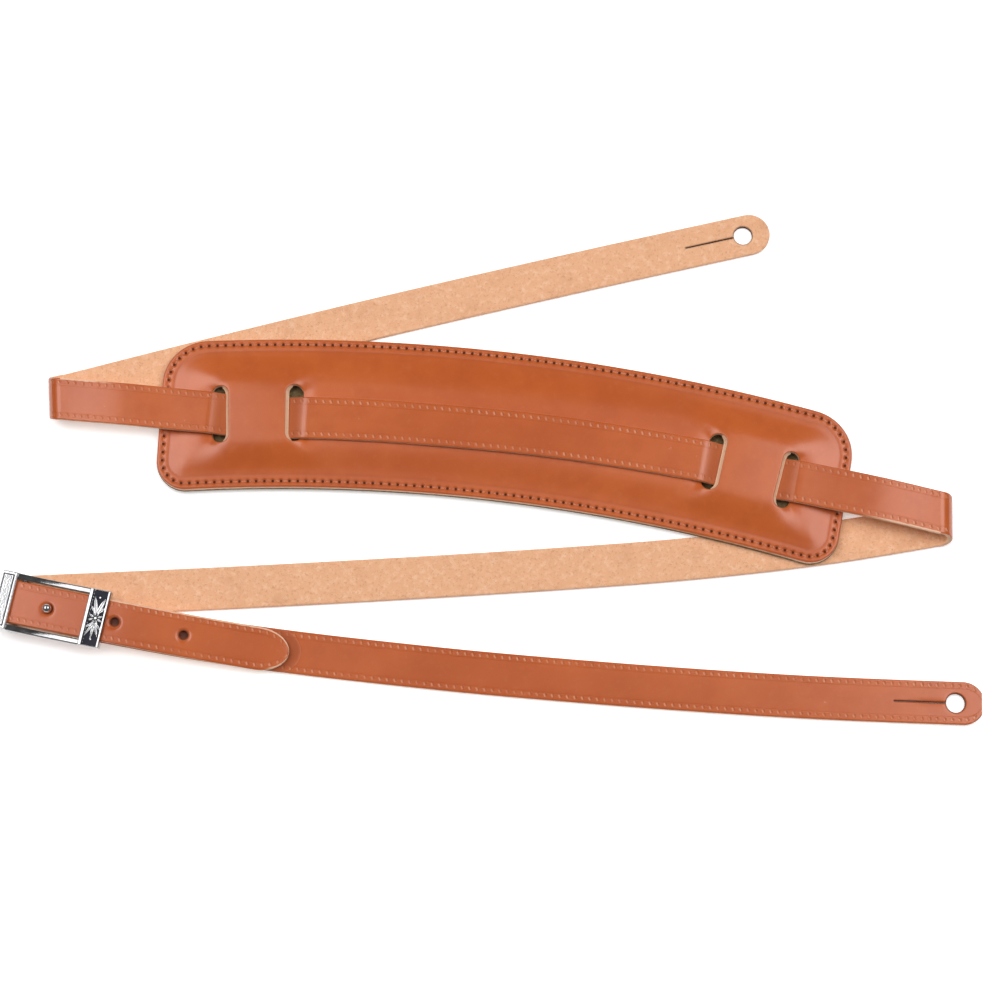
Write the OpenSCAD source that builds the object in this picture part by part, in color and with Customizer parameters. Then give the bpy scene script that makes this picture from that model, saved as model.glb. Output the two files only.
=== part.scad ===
// Leather guitar strap with a sliding shoulder pad and a stud buckle, laid in a Z on a flat surface.
// X runs along the lay, Z is up, and the surface is Z = 0.

/* [Strap leather] */
// Width of the long and the short strap
strap_w = 15.8; // [15:0.1:16.2]
// Thickness of the strap leather
strap_t = 2; // [1.8:0.1:2]
// Diameter of the strap button holes
button_hole_d = 7; // [6:0.5:8]
// Length of the slit that opens each button hole
slit_len = 19; // [12:1:22]
// Width of the slit
slit_w = 0.6; // [0.4:0.1:0.8]
// From a button hole's centre to the strap's end
hole_to_end = 10.7; // [10:0.1:12]

/* [Shoulder pad] */
// Radius of the pad's middle line
pad_r = 709; // [700:1:720]
// Width of the pad
pad_w = 57; // [55:0.5:58]
// Half the pad's length along its lower edge's corners
pad_half = 120.6; // [118:0.1:121]
// Radius of the lower corners
low_corner_r = 11; // [10:0.5:12]
// Radius of the upper corners
high_corner_r = 17; // [16:0.5:18]
// Lean of the short sides, in degrees
side_lean = 6.5; // [6:0.5:7]
// Thickness of the face leather
face_t = 2; // [1.8:0.1:2]
// Thickness of the foam
padding_t = 3; // [3:0.1:3.2]
// Thickness of the suede backing
backing_t = 1.2; // [1:0.1:1.2]
// Width of the flat rim round the raised middle
rim_w = 5; // [4.5:0.5:6]
// Length of each strap slot
slot_len = 21.6; // [21:0.1:22.5]
// Width of each strap slot
slot_w = 6.4; // [6.2:0.1:7]
// From the pad's centre to each inner slot
inner_slot = 79; // [78:0.5:80]
// From the pad's centre to each outer slot
outer_slot = 106.7; // [106:0.1:107.5]
// Distance from one stitch to the next
stitch_pitch = 3.1; // [3:0.1:4]

/* [Buckle] */
// Length of the buckle
buckle_len = 41.2; // [41:0.1:42]
// Width of the buckle
buckle_w = 21.4; // [21:0.1:22]
// Width of each rail
rail_w = 2.2; // [2:0.1:2.4]
// Width of the plain end plate
end_plate_w = 6.2; // [6:0.1:6.6]
// Width of the ornamental keeper plate
keeper_w = 8; // [7.5:0.1:8.5]
// Thickness of the two plates
plate_t = 1.3; // [1.2:0.1:1.5]
// Radius of the buckle bar
bar_r = 1; // [0.9:0.1:1]
// Radius of the stud's ball
ball_r = 1.8; // [1.7:0.1:1.9]
// Radius of the holes in the strap's tail
tail_hole_r = 1.6; // [1.6:0.1:1.8]
// Distance between the tail's holes
hole_pitch = 25.4; // [24:0.1:26]

/* [Hidden] */

// gap between leather faces that lie on each other, and a length beyond everything
gap = 0.1;
far = 500;

// heights: underside of the pad, its layers, and the strap over the face and under it
pad_z = strap_t + 0.2;
padding_z = pad_z + backing_t;
face_z = padding_z + padding_t;
over_z = face_z + face_t + gap;
under_z = face_z - gap - strap_t;
face_rim_top = padding_z + face_t;

// loops of the long strap at the ends of the shoulder strand
loop_r = (over_z + strap_t) / 2;
left_loop = [-160, 25];
left_loop_out = 184;
left_loop_shift = 3.5;
right_loop = [166.6, -21.7];
right_loop_out = -2;
right_loop_shift = 3.2;

// routes of the strands' middle lines, through points along the lay
end_route = [[-185, 20.8], [-160.1, 26.7], [-115, 38.6], [-41.5, 57.2], [34, 75.2], [97, 89.6],
    [125, 96]];
shoulder_route = [[-185, 25.7], [-159.9, 23.2], [-130, 20.5], [-100, 17.7], [-73, 16.2],
    [-33, 14.2], [23, 8.8], [77, 0], [110, -7.4], [140, -13.8], [166.6, -20.1], [190, -26.3]];
return_route = [[190, -19.2], [166.6, -23.3], [145, -27], [125, -30.1], [98, -33.5],
    [60, -37.2], [5, -41.1], [-50, -44.4], [-105, -47.3], [-174, -50.4], [-200, -51.5]];
tail_route = [[-200, -48.2], [-174, -53.6], [-136, -61.2], [-112, -65.6], [-85, -70],
    [-66, -72.8], [-50, -75]];

// strap button holes: place and heading of the strap there
end_hole = [97, 89.6];
end_heading = 12.9;
short_hole = [170.7, -89.8];
short_heading = -2;

// buckle frame, with its own x along the strap
buckle_at = [-160.5, -56.4];
buckle_turn = -11.7;
bar_x = -12.8;
stud_x = -1.4;
function buckle_xy(x) = buckle_at + x * [cos(buckle_turn), sin(buckle_turn)];

// the short strap's route starts just before the bar's top and is straight through the buckle
lap = 0.4;
short_route = [buckle_xy(-30), buckle_xy(bar_x - lap), buckle_xy(8), buckle_xy(24), [-105, -66.8],
    [-68, -71.5], [-31, -75.7], [6, -79.4], [61, -83.9], [116, -87.5], [171, -89.8],
    [200, -90.6]];

// heights in the buckle: bar, short strap, tail and plates
bar_z = strap_t + gap + strap_t + gap + bar_r;
short_z = bar_z + bar_r + gap;
tail_z = short_z + strap_t + gap;
rail_z = short_z + 1.7;
plate_z = tail_z + strap_t + 0.5;
buckle_loop = [-174.1, -52];
buckle_loop_out = 175.2;
buckle_loop_shift = 3;
buckle_loop_r = (tail_z + strap_t) / 2;

// the short strap comes down to the surface between these places
ramp_from = -138;
ramp_to = -62;
tail_point = [-85.2, -70];
tail_point_turn = -9.5;
tail_point_len = 11.8;

// half of the strap's length inside the pad at each pair of slots
pair_u = (inner_slot + outer_slot) / 2;
pair_half = (outer_slot - inner_slot) / 2;
pair_reach = pair_half + slot_w / 2 + 1.5;
pad_at = [6, 14];
pad_turn = -6.8;
slot_v = -1;

leather = [0.77, 0.42, 0.25];
rough_leather = [0.88, 0.68, 0.52];
chrome = [0.8, 0.8, 0.82];

// ---- curves ----

// point of a smooth curve through p, between p[i] and p[i + 1]
function pass(p, i, t) = let (a = p[i - 1], b = p[i], c = p[i + 1], d = p[i + 2])
    ((2 * b) + (c - a) * t + (2 * a - 5 * b + 4 * c - d) * t * t
    + (3 * b - a - 3 * c + d) * t * t * t) / 2;
function curve(p, n) = [for (i = [1 : len(p) - 3]) for (k = [0 : n - 1]) pass(p, i, k / n),
    p[len(p) - 2]];
function heading(q, i) = let (d = q[min(i + 1, len(q) - 1)] - q[max(i - 1, 0)]) d / norm(d);
function beside(q, i, d) = q[i] + d * [-heading(q, i)[1], heading(q, i)[0]];

// flat outline of a strand along the route p
module strand(p) {
    q = curve(p, 6);
    polygon(concat([for (i = [0 : len(q) - 1]) beside(q, i, strap_w / 2)],
        [for (i = [len(q) - 1 : -1 : 0]) beside(q, i, -strap_w / 2)]));
}

// the half of space on the outer side of a loop
module outside(at, turn) {
    translate([at[0], at[1], -far])
        rotate([0, 0, turn])
        translate([0, -far, 0])
        cube([far, 2 * far, 2 * far]);
}

// half loop of strap round a level line, with its two ends shifted along the line
module loop(at, turn, r, shift) {
    slant = shift / (2 * r - strap_t);
    half = strap_w / 2 + 0.1;
    reach = r + 1;
    translate([at[0], at[1], r])
        rotate([0, 0, turn])
        intersection() {
            difference() {
                rotate([90, 0, 0]) cylinder(h = 4 * half, r = r, center = true, $fn = 96);
                rotate([90, 0, 0])
                    cylinder(h = 4 * half + 2, r = r - strap_t, center = true, $fn = 96);
            }
            rotate([90, 0, 90])
                linear_extrude(2 * r)
                polygon([[-half - slant * reach, -reach], [half - slant * reach, -reach],
                    [half + slant * reach, reach], [-half + slant * reach, reach]]);
        }
}

// place on the pad, u along its middle line and v across it
module on_pad(u = 0, v = 0) {
    translate([pad_at[0], pad_at[1], 0])
        rotate([0, 0, pad_turn])
        translate([0, -pad_r, 0])
        rotate([0, 0, -u / pad_r * 180 / PI])
        translate([0, pad_r + v, 0])
        children();
}

// ---- shoulder pad ----

function pad_xy(u, v) = let (a = u / pad_r * 180 / PI)
    [(pad_r + v) * sin(a), (pad_r + v) * cos(a) - pad_r];
high_half = pad_half - 9.3;
function low_corner(inset, a) = [pad_half, low_corner_r - pad_w / 2]
    + (low_corner_r - inset) * [cos(a), sin(a)];
function high_corner(inset, a) = [high_half, pad_w / 2 - high_corner_r]
    + (high_corner_r - inset) * [cos(a), sin(a)];
// right half of the outline from the lower to the upper edge, in u and v
function pad_end(inset) = concat(
    [for (a = [-90 : 12 : 0]) low_corner(inset, a)], [low_corner(inset, side_lean)],
    [high_corner(inset, side_lean)], [for (a = [15 : 15 : 90]) high_corner(inset, a)]);
function pad_edge(inset) = let (e = pad_end(inset), n = len(e) - 1, long = 16) concat(
    [for (k = [1 - long : long - 1]) [k / long * pad_half, inset - pad_w / 2]],
    e,
    [for (k = [long - 1 : -1 : 1 - long]) [k / long * high_half, pad_w / 2 - inset]],
    [for (i = [n : -1 : 0]) [-e[i][0], e[i][1]]]);

// slab in the pad's outline, moved in from its edge
module pad_slab(inset, z, h) {
    on_pad()
        translate([0, 0, z])
        linear_extrude(h)
        polygon([for (p = pad_edge(inset)) pad_xy(p[0], p[1])]);
}

module slot_cuts() {
    straight = slot_len - slot_w;
    for (side = [-1, 1]) for (u = [inner_slot, outer_slot])
        on_pad(side * u, slot_v) {
            translate([-slot_w / 2, -straight / 2, face_z - 1])
                cube([slot_w, straight, face_t + 2]);
            for (end = [-1, 1])
                translate([0, end * straight / 2, face_z - 1])
                cylinder(h = face_t + 2, r = slot_w / 2, $fn = 48);
        }
}

module pad_face() {
    color(leather)
        difference() {
            union() {
                pad_slab(0, padding_z, face_t);
                pad_slab(rim_w, padding_z, padding_t + face_t);
            }
            pad_slab(rim_w + face_t, padding_z - 1, padding_t + 1);
            slot_cuts();
        }
}

// foam, open under each pair of slots so that the strap can pass
module pad_padding() {
    window = strap_w + 6;
    color([0.85, 0.82, 0.74])
        difference() {
            pad_slab(rim_w + face_t + gap, padding_z, padding_t);
            for (side = [-1, 1])
                on_pad(side * pair_u, slot_v - 1)
                translate([-pair_reach - 1, -window / 2, 0])
                cube([2 * pair_reach + 2, window, 20]);
        }
}

module pad_backing() {
    color([0.42, 0.36, 0.22]) pad_slab(0, pad_z, backing_t);
}

// places of the stitches, evenly along each stretch of the seam, in u, v and turn
seam_in = 2.2;
function steps(length) = max(2, round(length / stitch_pitch));
function seam_half() = let (
    low = steps(pad_half * (1 - pad_w / 2 / pad_r)),
    high = steps(high_half * (1 + pad_w / 2 / pad_r)),
    low_sweep = 90 + side_lean,
    high_sweep = 90 - side_lean,
    low_n = steps((low_corner_r - seam_in) * low_sweep * PI / 180),
    high_n = steps((high_corner_r - seam_in) * high_sweep * PI / 180),
    a = low_corner(seam_in, side_lean),
    b = high_corner(seam_in, side_lean),
    side_n = steps(norm(b - a))) concat(
    [for (k = [0.5 : low]) [k / low * pad_half, seam_in - pad_w / 2, 0]],
    [for (k = [0.5 : low_n]) let (t = k / low_n * low_sweep)
        [low_corner(seam_in, t - 90)[0], low_corner(seam_in, t - 90)[1], t]],
    [for (k = [0.5 : side_n]) let (p = a + (b - a) * k / side_n)
        [p[0], p[1], 90 + side_lean]],
    [for (k = [0.5 : high_n]) let (t = side_lean + k / high_n * high_sweep)
        [high_corner(seam_in, t)[0], high_corner(seam_in, t)[1], 90 + t]],
    [for (k = [0.5 : high]) [k / high * high_half, pad_w / 2 - seam_in, 0]]);

module pad_seam_thread() {
    stitch = [2.3, 0.7, 0.4];
    color([0.72, 0.45, 0.33])
        for (s = seam_half()) for (side = [-1, 1])
            on_pad(side * s[0], s[1])
            rotate([0, 0, side * s[2]])
            translate([-stitch[0] / 2, -stitch[1] / 2, face_rim_top])
            cube(stitch);
}

// ---- long strap ----

// hole for a strap button, with the slit that opens it
module button_cut(at, heading, z0, h) {
    translate([at[0], at[1], z0]) {
        cylinder(h = h, r = button_hole_d / 2, $fn = 64);
        rotate([0, 0, heading])
            translate([-slit_len - button_hole_d / 2, -slit_w / 2, 0])
            cube([slit_len + button_hole_d / 2, slit_w, h]);
    }
}

// round end of a strap that has a button hole
module strap_end(at, heading, h) {
    translate([at[0], at[1], 0])
        rotate([0, 0, heading])
        translate([hole_to_end - strap_w / 2, 0, 0])
        cylinder(h = h, r = strap_w / 2, $fn = 96);
}

// everything past the middle of a strap's round end
module past_end(at, heading) {
    translate([at[0], at[1], -1])
        rotate([0, 0, heading])
        translate([hole_to_end - strap_w / 2, -50, 0])
        cube([100, 100, 40]);
}

module long_strap_end() {
    color(rough_leather)
        difference() {
            union() {
                difference() {
                    linear_extrude(strap_t) strand(end_route);
                    outside(left_loop, left_loop_out);
                    past_end(end_hole, end_heading);
                }
                strap_end(end_hole, end_heading, strap_t);
            }
            button_cut(end_hole, end_heading, -1, strap_t + 2);
        }
}

module long_strap_left_fold() {
    color(leather) loop(left_loop, left_loop_out, loop_r, left_loop_shift);
}

// the shoulder strand over the face, at one height
module shoulder_slab() {
    translate([0, 0, over_z]) linear_extrude(strap_t) strand(shoulder_route);
}

module long_strap_left_span() {
    color(leather)
        difference() {
            shoulder_slab();
            outside(left_loop, left_loop_out);
            on_pad(-pair_u) translate([-pair_reach, -50, -1]) cube([far, 100, 40]);
        }
}

module long_strap_right_span() {
    color(leather)
        difference() {
            shoulder_slab();
            outside(right_loop, right_loop_out);
            on_pad(pair_u) translate([pair_reach - far, -50, -1]) cube([far, 100, 40]);
        }
}

// height of the strap's middle where it drops through one slot of a pair and rises through the other
drop_w = slot_w - 0.8;
function drop(x) = let (t = (pair_half + drop_w / 2 - abs(x)) / drop_w)
    t <= 0 ? over_z : t >= 1 ? under_z : over_z - (over_z - under_z) * (1 - cos(180 * t)) / 2;
function lean(x) = (drop(x + 0.05) - drop(x - 0.05)) / 0.1;
module dip() {
    step = 0.8;
    n = ceil(pair_reach / step);
    xs = [for (k = [-n : n]) k / n * pair_reach];
    thick = [for (x = xs) strap_t / 2 * sqrt(1 + lean(x) * lean(x))];
    rotate([90, 0, 0])
        linear_extrude(60, center = true)
        polygon(concat(
            [for (k = [0 : 2 * n]) [xs[k], drop(xs[k]) + strap_t / 2 + thick[k]]],
            [for (k = [2 * n : -1 : 0]) [xs[k], drop(xs[k]) + strap_t / 2 - thick[k]]]));
}

module long_strap_weave() {
    color(leather) {
        for (side = [-1, 1])
            intersection() {
                linear_extrude(20) strand(shoulder_route);
                on_pad(side * pair_u) dip();
            }
        difference() {
            shoulder_slab();
            on_pad(-pair_u) translate([pair_reach - far, -60, -1]) cube([far, 120, 40]);
            on_pad(pair_u) translate([-pair_reach, -60, -1]) cube([far, 120, 40]);
        }
    }
}

module long_strap_right_fold() {
    color(leather) loop(right_loop, right_loop_out, loop_r, right_loop_shift);
}

module long_strap_return() {
    color(rough_leather)
        difference() {
            linear_extrude(strap_t) strand(return_route);
            outside(right_loop, right_loop_out);
            outside(buckle_loop, buckle_loop_out);
        }
}

module long_strap_buckle_fold() {
    color(leather)
        loop(buckle_loop, buckle_loop_out, buckle_loop_r, buckle_loop_shift);
}

// how far the short strap has come down at x, from 0 to 1
function down(x) = let (t = (x - ramp_from) / (ramp_to - ramp_from))
    t <= 0 ? 0 : t >= 1 ? 1 : (1 - cos(180 * t)) / 2;

// side view of a strap that comes down with the short strap, extruded across the lay
module descending(z, x0, x1) {
    n = 16;
    xs = concat([x0], [for (k = [0 : n]) ramp_from + k / n * (ramp_to - ramp_from)], [x1]);
    rotate([90, 0, 0])
        linear_extrude(400, center = true)
        polygon(concat([for (x = xs) [x, z - short_z * down(x) + strap_t]],
            [for (k = [len(xs) - 1 : -1 : 0]) [xs[k], z - short_z * down(xs[k])]]));
}

// place in the buckle, x along the strap from the buckle's centre
module in_buckle(x = 0, y = 0, z = 0) {
    translate([buckle_at[0], buckle_at[1], 0])
        rotate([0, 0, buckle_turn])
        translate([x, y, z])
        children();
}

// the tail's plan, with its end rounded to a half oval
module tail_outline() {
    oval = [for (a = [-90 : 7.5 : 90]) [tail_point_len * cos(a), (strap_w / 2 + 0.2) * sin(a)]];
    difference() {
        linear_extrude(30) strand(tail_route);
        translate([tail_point[0], tail_point[1], -1])
            rotate([0, 0, tail_point_turn])
            difference() {
                translate([0, -30, 0]) cube([60, 60, 40]);
                translate([0, 0, -1]) linear_extrude(42) polygon(oval);
            }
    }
}

module long_strap_tail() {
    dimple_r = 2.3;
    dimple = 0.6;
    color(leather)
        difference() {
            intersection() {
                tail_outline();
                descending(tail_z, -240, 0);
            }
            outside(buckle_loop, buckle_loop_out);
            for (k = [0 : 2])
                in_buckle(stud_x + k * hole_pitch)
                cylinder(h = 30, r = tail_hole_r, $fn = 48);
            in_buckle(stud_x, 0, tail_z + strap_t - dimple)
                cylinder(h = 2, r = dimple_r, $fn = 48);
        }
}

// ---- short strap ----

stud_hole_r = 1.2;
flap_z = short_z - gap - strap_t;
flap_end = 9;

// loop round the bar and the flap that is clamped under the strap by the stud, both pared narrower
module bar_loop() {
    outer = bar_r + gap + strap_t;
    low = bar_z - outer;
    rise = 5.5;
    pared_w = strap_w - 0.4;
    in_buckle(bar_x, 0, 0) {
        intersection() {
            translate([0, 0, bar_z])
                rotate([90, 0, 0])
                difference() {
                    cylinder(h = pared_w, r = outer, center = true, $fn = 64);
                    cylinder(h = pared_w + 2, r = bar_r + gap, center = true, $fn = 64);
                }
            translate([-outer - 1, -strap_w, 0]) cube([outer + 1 - lap / 2, 2 * strap_w, 20]);
        }
        rotate([90, 0, 0])
            linear_extrude(pared_w, center = true)
            polygon([[-lap, low], [0.8, low], [rise, flap_z], [flap_end - bar_x, flap_z],
                [flap_end - bar_x, flap_z + strap_t], [rise, flap_z + strap_t],
                [0.8, low + strap_t], [-lap, low + strap_t]]);
    }
}

module short_strap() {
    color(leather)
        difference() {
            union() {
                bar_loop();
                difference() {
                    intersection() {
                        linear_extrude(30) strand(short_route);
                        descending(short_z, -240, 240);
                    }
                    past_end(short_hole, short_heading);
                }
                strap_end(short_hole, short_heading, strap_t);
            }
            button_cut(short_hole, short_heading, -1, strap_t + 2);
            in_buckle(stud_x, 0, 3) cylinder(h = 6, r = stud_hole_r, $fn = 48);
        }
}

// ---- buckle ----

rail_y = (buckle_w - rail_w) / 2;

// the two side rails, each with a round top and a lug that holds the bar
module buckle_frame() {
    lug_r = bar_r + 1.1;
    cap_r = rail_w / 2;
    color(chrome)
        for (side = [-1, 1])
            difference() {
                union() {
                    in_buckle(-buckle_len / 2, side * rail_y - cap_r, rail_z)
                        cube([buckle_len, rail_w, plate_z - rail_z - cap_r]);
                    in_buckle(-buckle_len / 2, side * rail_y, plate_z - cap_r)
                        rotate([0, 90, 0])
                        cylinder(h = buckle_len, r = cap_r, $fn = 48);
                    in_buckle(bar_x, side * rail_y, bar_z)
                        rotate([90, 0, 0])
                        cylinder(h = rail_w, r = lug_r, center = true, $fn = 64);
                    in_buckle(bar_x - lug_r, side * rail_y - cap_r, bar_z)
                        cube([2 * lug_r, rail_w, rail_z - bar_z + 0.5]);
                }
                in_buckle(bar_x, 0, bar_z)
                    rotate([90, 0, 0])
                    cylinder(h = buckle_w + 2, r = bar_r, center = true, $fn = 64);
            }
}

// plate with a raised border round a sunken panel
module bordered_plate(x, w, border) {
    sunk = 0.35;
    in_buckle(x - w / 2, -buckle_w / 2, plate_z)
        difference() {
            cube([w, buckle_w, plate_t]);
            translate([border, border, plate_t - sunk])
                cube([w - 2 * border, buckle_w - 2 * border, sunk + 1]);
        }
}

module buckle_end_plate() {
    color(chrome) bordered_plate((end_plate_w - buckle_len) / 2, end_plate_w, 0.8);
}

module buckle_keeper() {
    x = (buckle_len - keeper_w) / 2;
    petal = 1.9;
    color(chrome) {
        bordered_plate(x, keeper_w, 1);
        in_buckle(x, 0, plate_z + plate_t - 0.4) {
            cylinder(h = 0.4, r = 1, $fn = 32);
            for (end = [-1, 1]) for (k = [0 : 2])
                translate([0, end * (2.6 + k * 2.2), 0])
                cylinder(h = 0.4, r = petal - k * 0.5, $fn = 32);
        }
    }
}

module buckle_bar() {
    color(chrome)
        in_buckle(bar_x, 0, bar_z)
        rotate([90, 0, 0])
        cylinder(h = buckle_w, r = bar_r, center = true, $fn = 64);
}

post_bore_r = 0.65;
screw_z = flap_z - 0.9;

// ball on a neck that stands up through the strap's tail
module stud_post() {
    neck_r = 1.1;
    color(chrome)
        in_buckle(stud_x, 0, 0)
        difference() {
            union() {
                translate([0, 0, flap_z]) cylinder(h = tail_z - flap_z + 2, r = neck_r, $fn = 48);
                translate([0, 0, short_z + strap_t]) cylinder(h = 0.7, r = 1.5, $fn = 48);
                translate([0, 0, tail_z + strap_t + 0.4]) sphere(r = ball_r, $fn = 64);
            }
            translate([0, 0, flap_z - 1]) cylinder(h = 5, r = post_bore_r, $fn = 32);
        }
}

// flat-headed screw that closes the stud from below
module stud_screw() {
    color(chrome)
        in_buckle(stud_x, 0, 0) {
            translate([0, 0, screw_z]) cylinder(h = flap_z - screw_z, r = 3.2, $fn = 64);
            translate([0, 0, flap_z - 0.2])
                cylinder(h = 3.8, r = post_bore_r - 0.05, $fn = 32);
        }
}

long_strap_end();
long_strap_left_fold();
long_strap_left_span();
long_strap_weave();
long_strap_right_span();
long_strap_right_fold();
long_strap_return();
long_strap_buckle_fold();
long_strap_tail();
short_strap();
pad_face();
pad_padding();
pad_backing();
pad_seam_thread();
buckle_frame();
buckle_end_plate();
buckle_keeper();
buckle_bar();
stud_post();
stud_screw();
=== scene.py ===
"""Looks of the guitar strap: leather, stitching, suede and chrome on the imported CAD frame."""

import math

import bmesh
import bpy
import numpy as np
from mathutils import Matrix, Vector
from mathutils.geometry import delaunay_2d_cdt


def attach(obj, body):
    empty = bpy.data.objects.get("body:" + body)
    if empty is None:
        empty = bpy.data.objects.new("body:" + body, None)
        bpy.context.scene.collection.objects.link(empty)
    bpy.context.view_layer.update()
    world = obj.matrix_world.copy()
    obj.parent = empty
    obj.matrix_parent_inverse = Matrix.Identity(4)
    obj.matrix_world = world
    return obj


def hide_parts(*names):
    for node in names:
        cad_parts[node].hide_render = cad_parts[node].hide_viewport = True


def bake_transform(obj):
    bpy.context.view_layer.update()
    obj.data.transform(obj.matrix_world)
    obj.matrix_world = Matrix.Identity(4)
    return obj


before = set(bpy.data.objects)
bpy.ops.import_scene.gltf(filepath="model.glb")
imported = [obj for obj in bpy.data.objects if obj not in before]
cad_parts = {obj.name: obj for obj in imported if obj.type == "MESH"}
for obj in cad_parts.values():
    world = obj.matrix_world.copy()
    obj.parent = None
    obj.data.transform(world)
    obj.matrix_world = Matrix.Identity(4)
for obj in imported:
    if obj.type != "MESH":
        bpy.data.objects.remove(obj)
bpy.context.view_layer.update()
scene = bpy.context.scene

MM = 0.001
rng = np.random.default_rng(7)

# ---- sizes, in mm, as in the CAD part

STRAP_W = 15.8
STRAP_T = 2.0
GAP = 0.1
BUTTON_R = 3.5
SLIT_LEN = 19.0
SLIT_HALF = 0.1
HOLE_TO_END = 10.7
END_ROUND = STRAP_W / 2
TIP_ROUND = 11.8
EDGE_ROUND = 0.4
TICK_PITCH = 2.76
TICK_INSET = 1.65
CREASE_INSET = 2.75
SPRING_UP = 0.55
SLOT_SHADE = 0.24

PAD_R = 709.0
PAD_W = 57.0
PAD_HALF = 120.6
HIGH_HALF = PAD_HALF - 9.3
LOW_R = 11.0
HIGH_R = 17.0
LEAN = 6.5
PAD_AT = np.array([6.0, 14.0])
PAD_TURN = math.radians(-6.8)
STITCHES = 192
SEAM_INSET = 2.2
SEAM_PITCH = 3.1
RIM_CREASE = 4.7
SLOT_V = -1.0
SLOT_LEN = 21.6
SLOT_W = 6.4
INNER = 79.0
OUTER = 106.7
PAIR_U = (INNER + OUTER) / 2
PAIR_HALF = (OUTER - INNER) / 2
PAIR_REACH = PAIR_HALF + SLOT_W / 2 + 1.5

BACK_Z = 2.2
BACK_PROUD = 0.3
RIM_Z = 3.4
FACE_T = 2.0
RIM_TOP = RIM_Z + FACE_T
FACE_TOP = 8.4
OVER_Z = FACE_TOP + GAP
WEAVE_DROP = 2.25
BRIDGE_RISE = 2.05

FACE_STEP = 0.25
CROWN_RISE = 2.75
CROWN_FROM = 3.4
CROWN_REACH = 14.5
BRIDGE_HALF = 10.2
BRIDGE_FALL = 15
PRESS = 0.55
DROOP = 1.0
DROOP_FROM = 84
DROOP_REACH = 38
WAVE = 0.10

LOOP_R = (OVER_Z + STRAP_T) / 2
LEFT_LOOP = dict(at=(-160.0, 25.0), out=184.0, r=LOOP_R, shift=3.5)
RIGHT_LOOP = dict(at=(166.6, -21.7), out=-2.0, r=LOOP_R, shift=3.2)
BUCKLE_LOOP = dict(at=(-174.1, -52.0), out=175.2, r=5.2, shift=3.0)

END_ROUTE = [[-185, 20.8], [-160.1, 26.7], [-115, 38.6], [-41.5, 57.2], [34, 75.2], [97, 89.6],
             [125, 96], [150, 101.7]]
SHOULDER_ROUTE = [[-185, 25.7], [-159.9, 23.2], [-130, 20.5], [-100, 17.7], [-73, 16.2],
                  [-33, 14.2], [23, 8.8], [77, 0], [110, -7.4], [140, -13.8], [166.6, -20.1],
                  [190, -26.3]]
RETURN_ROUTE = [[190, -19.2], [166.6, -23.3], [145, -27], [125, -30.1], [98, -33.5],
                [60, -37.2], [5, -41.1], [-50, -44.4], [-105, -47.3], [-174, -50.4],
                [-200, -51.5]]
TAIL_ROUTE = [[-200, -48.2], [-174, -53.6], [-136, -61.2], [-112, -65.6], [-85, -70],
              [-66, -72.8], [-50, -75]]

BUCKLE_AT = np.array([-160.5, -56.4])
BUCKLE_TURN = math.radians(-11.7)
BUCKLE_DIR = np.array([math.cos(BUCKLE_TURN), math.sin(BUCKLE_TURN)])
BUCKLE_LEN = 41.2
BUCKLE_W = 21.4
RAIL_W = 2.2
END_PLATE_W = 6.2
KEEPER_W = 8.0
BAR_X = -12.8
BAR_Z = 5.2
BAR_R = 1.0
LUG_R = BAR_R + 1.1
LUG_BEVEL = 0.25
RAIL_DIP = 0.9
RAIL_ROUND = 0.55
RAIL_BEVEL = 0.3
STUD_X = -1.4
SHORT_Z = 6.3
FLAP_Z = 4.2
TAIL_Z = 8.4
RAIL_Z = 8.0
PLATE_Z = 10.9
PLATE_T = 1.3
SPRIG_X = 0.45
TAIL_HOLE_R = 1.6
HOLE_PITCH = 25.4
TAIL_HOLES = 3
DIMPLE_OFF = -0.3
DIMPLE_DEPTH = 0.45
TIP_X = -73.5
RAMP = (-138.0, -62.0)
END_HOLE = (97.0, 89.6)
END_LEAN = 0.985
SHORT_HOLE = (170.7, -89.8)
SHORT_TOP_FROM = 30.0


def buckle_xy(x, y=0.0):
    """A place in the lay, of x along the buckle and y across it."""
    side = np.array([-BUCKLE_DIR[1], BUCKLE_DIR[0]])
    return BUCKLE_AT + x * BUCKLE_DIR + y * side


SHORT_ROUTE = [buckle_xy(-30), buckle_xy(BAR_X), buckle_xy(8), buckle_xy(24), [-105, -66.8],
               [-68, -71.5], [-31, -75.7], [6, -79.4], [61, -83.9], [116, -87.5], [171, -89.8],
               [200, -90.6], [230, -91.2]]


def smooth(t):
    """From 0 to 1 with level ends, as t goes from 0 to 1."""
    t = np.clip(t, 0.0, 1.0)
    return t * t * (3 - 2 * t)


def fade(d, full, over):
    """1 up to a distance full, falling to 0 over the next stretch."""
    return 1 - smooth((d - full) / over)


def bump_shape(d, width):
    return np.exp(-((d / width) ** 2))


def lengths(p):
    """Length along a line up to each of its points."""
    return np.concatenate([[0], np.cumsum(np.linalg.norm(np.diff(p, axis=0), axis=1))])


def raised(xy, z):
    """Points over places in the lay, at heights z or at one height."""
    return np.column_stack([xy, np.broadcast_to(z, len(xy))])


def on_circle(a):
    return np.column_stack([np.cos(a), np.sin(a)])


def round_over(d, r):
    """How far a rounded edge of radius r has fallen at a distance d inside it."""
    return r - np.sqrt(np.maximum(r * r - (r - np.clip(d, 0, r)) ** 2, 0))


# ---- centre lines of the straps


def route_curve(points, steps=30):
    """A smooth curve through the points, from the second to the last but one."""
    p = np.array([list(q) for q in points], float)
    t = (np.arange(steps) / steps)[:, None]
    out = []
    for i in range(1, len(p) - 2):
        a, b, c, d = p[i - 1:i + 3]
        out.append((2 * b + (c - a) * t + (2 * a - 5 * b + 4 * c - d) * t**2
                    + (3 * b - a - 3 * c + d) * t**3) / 2)
    out.append(p[-2][None])
    return np.vstack(out)


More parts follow.
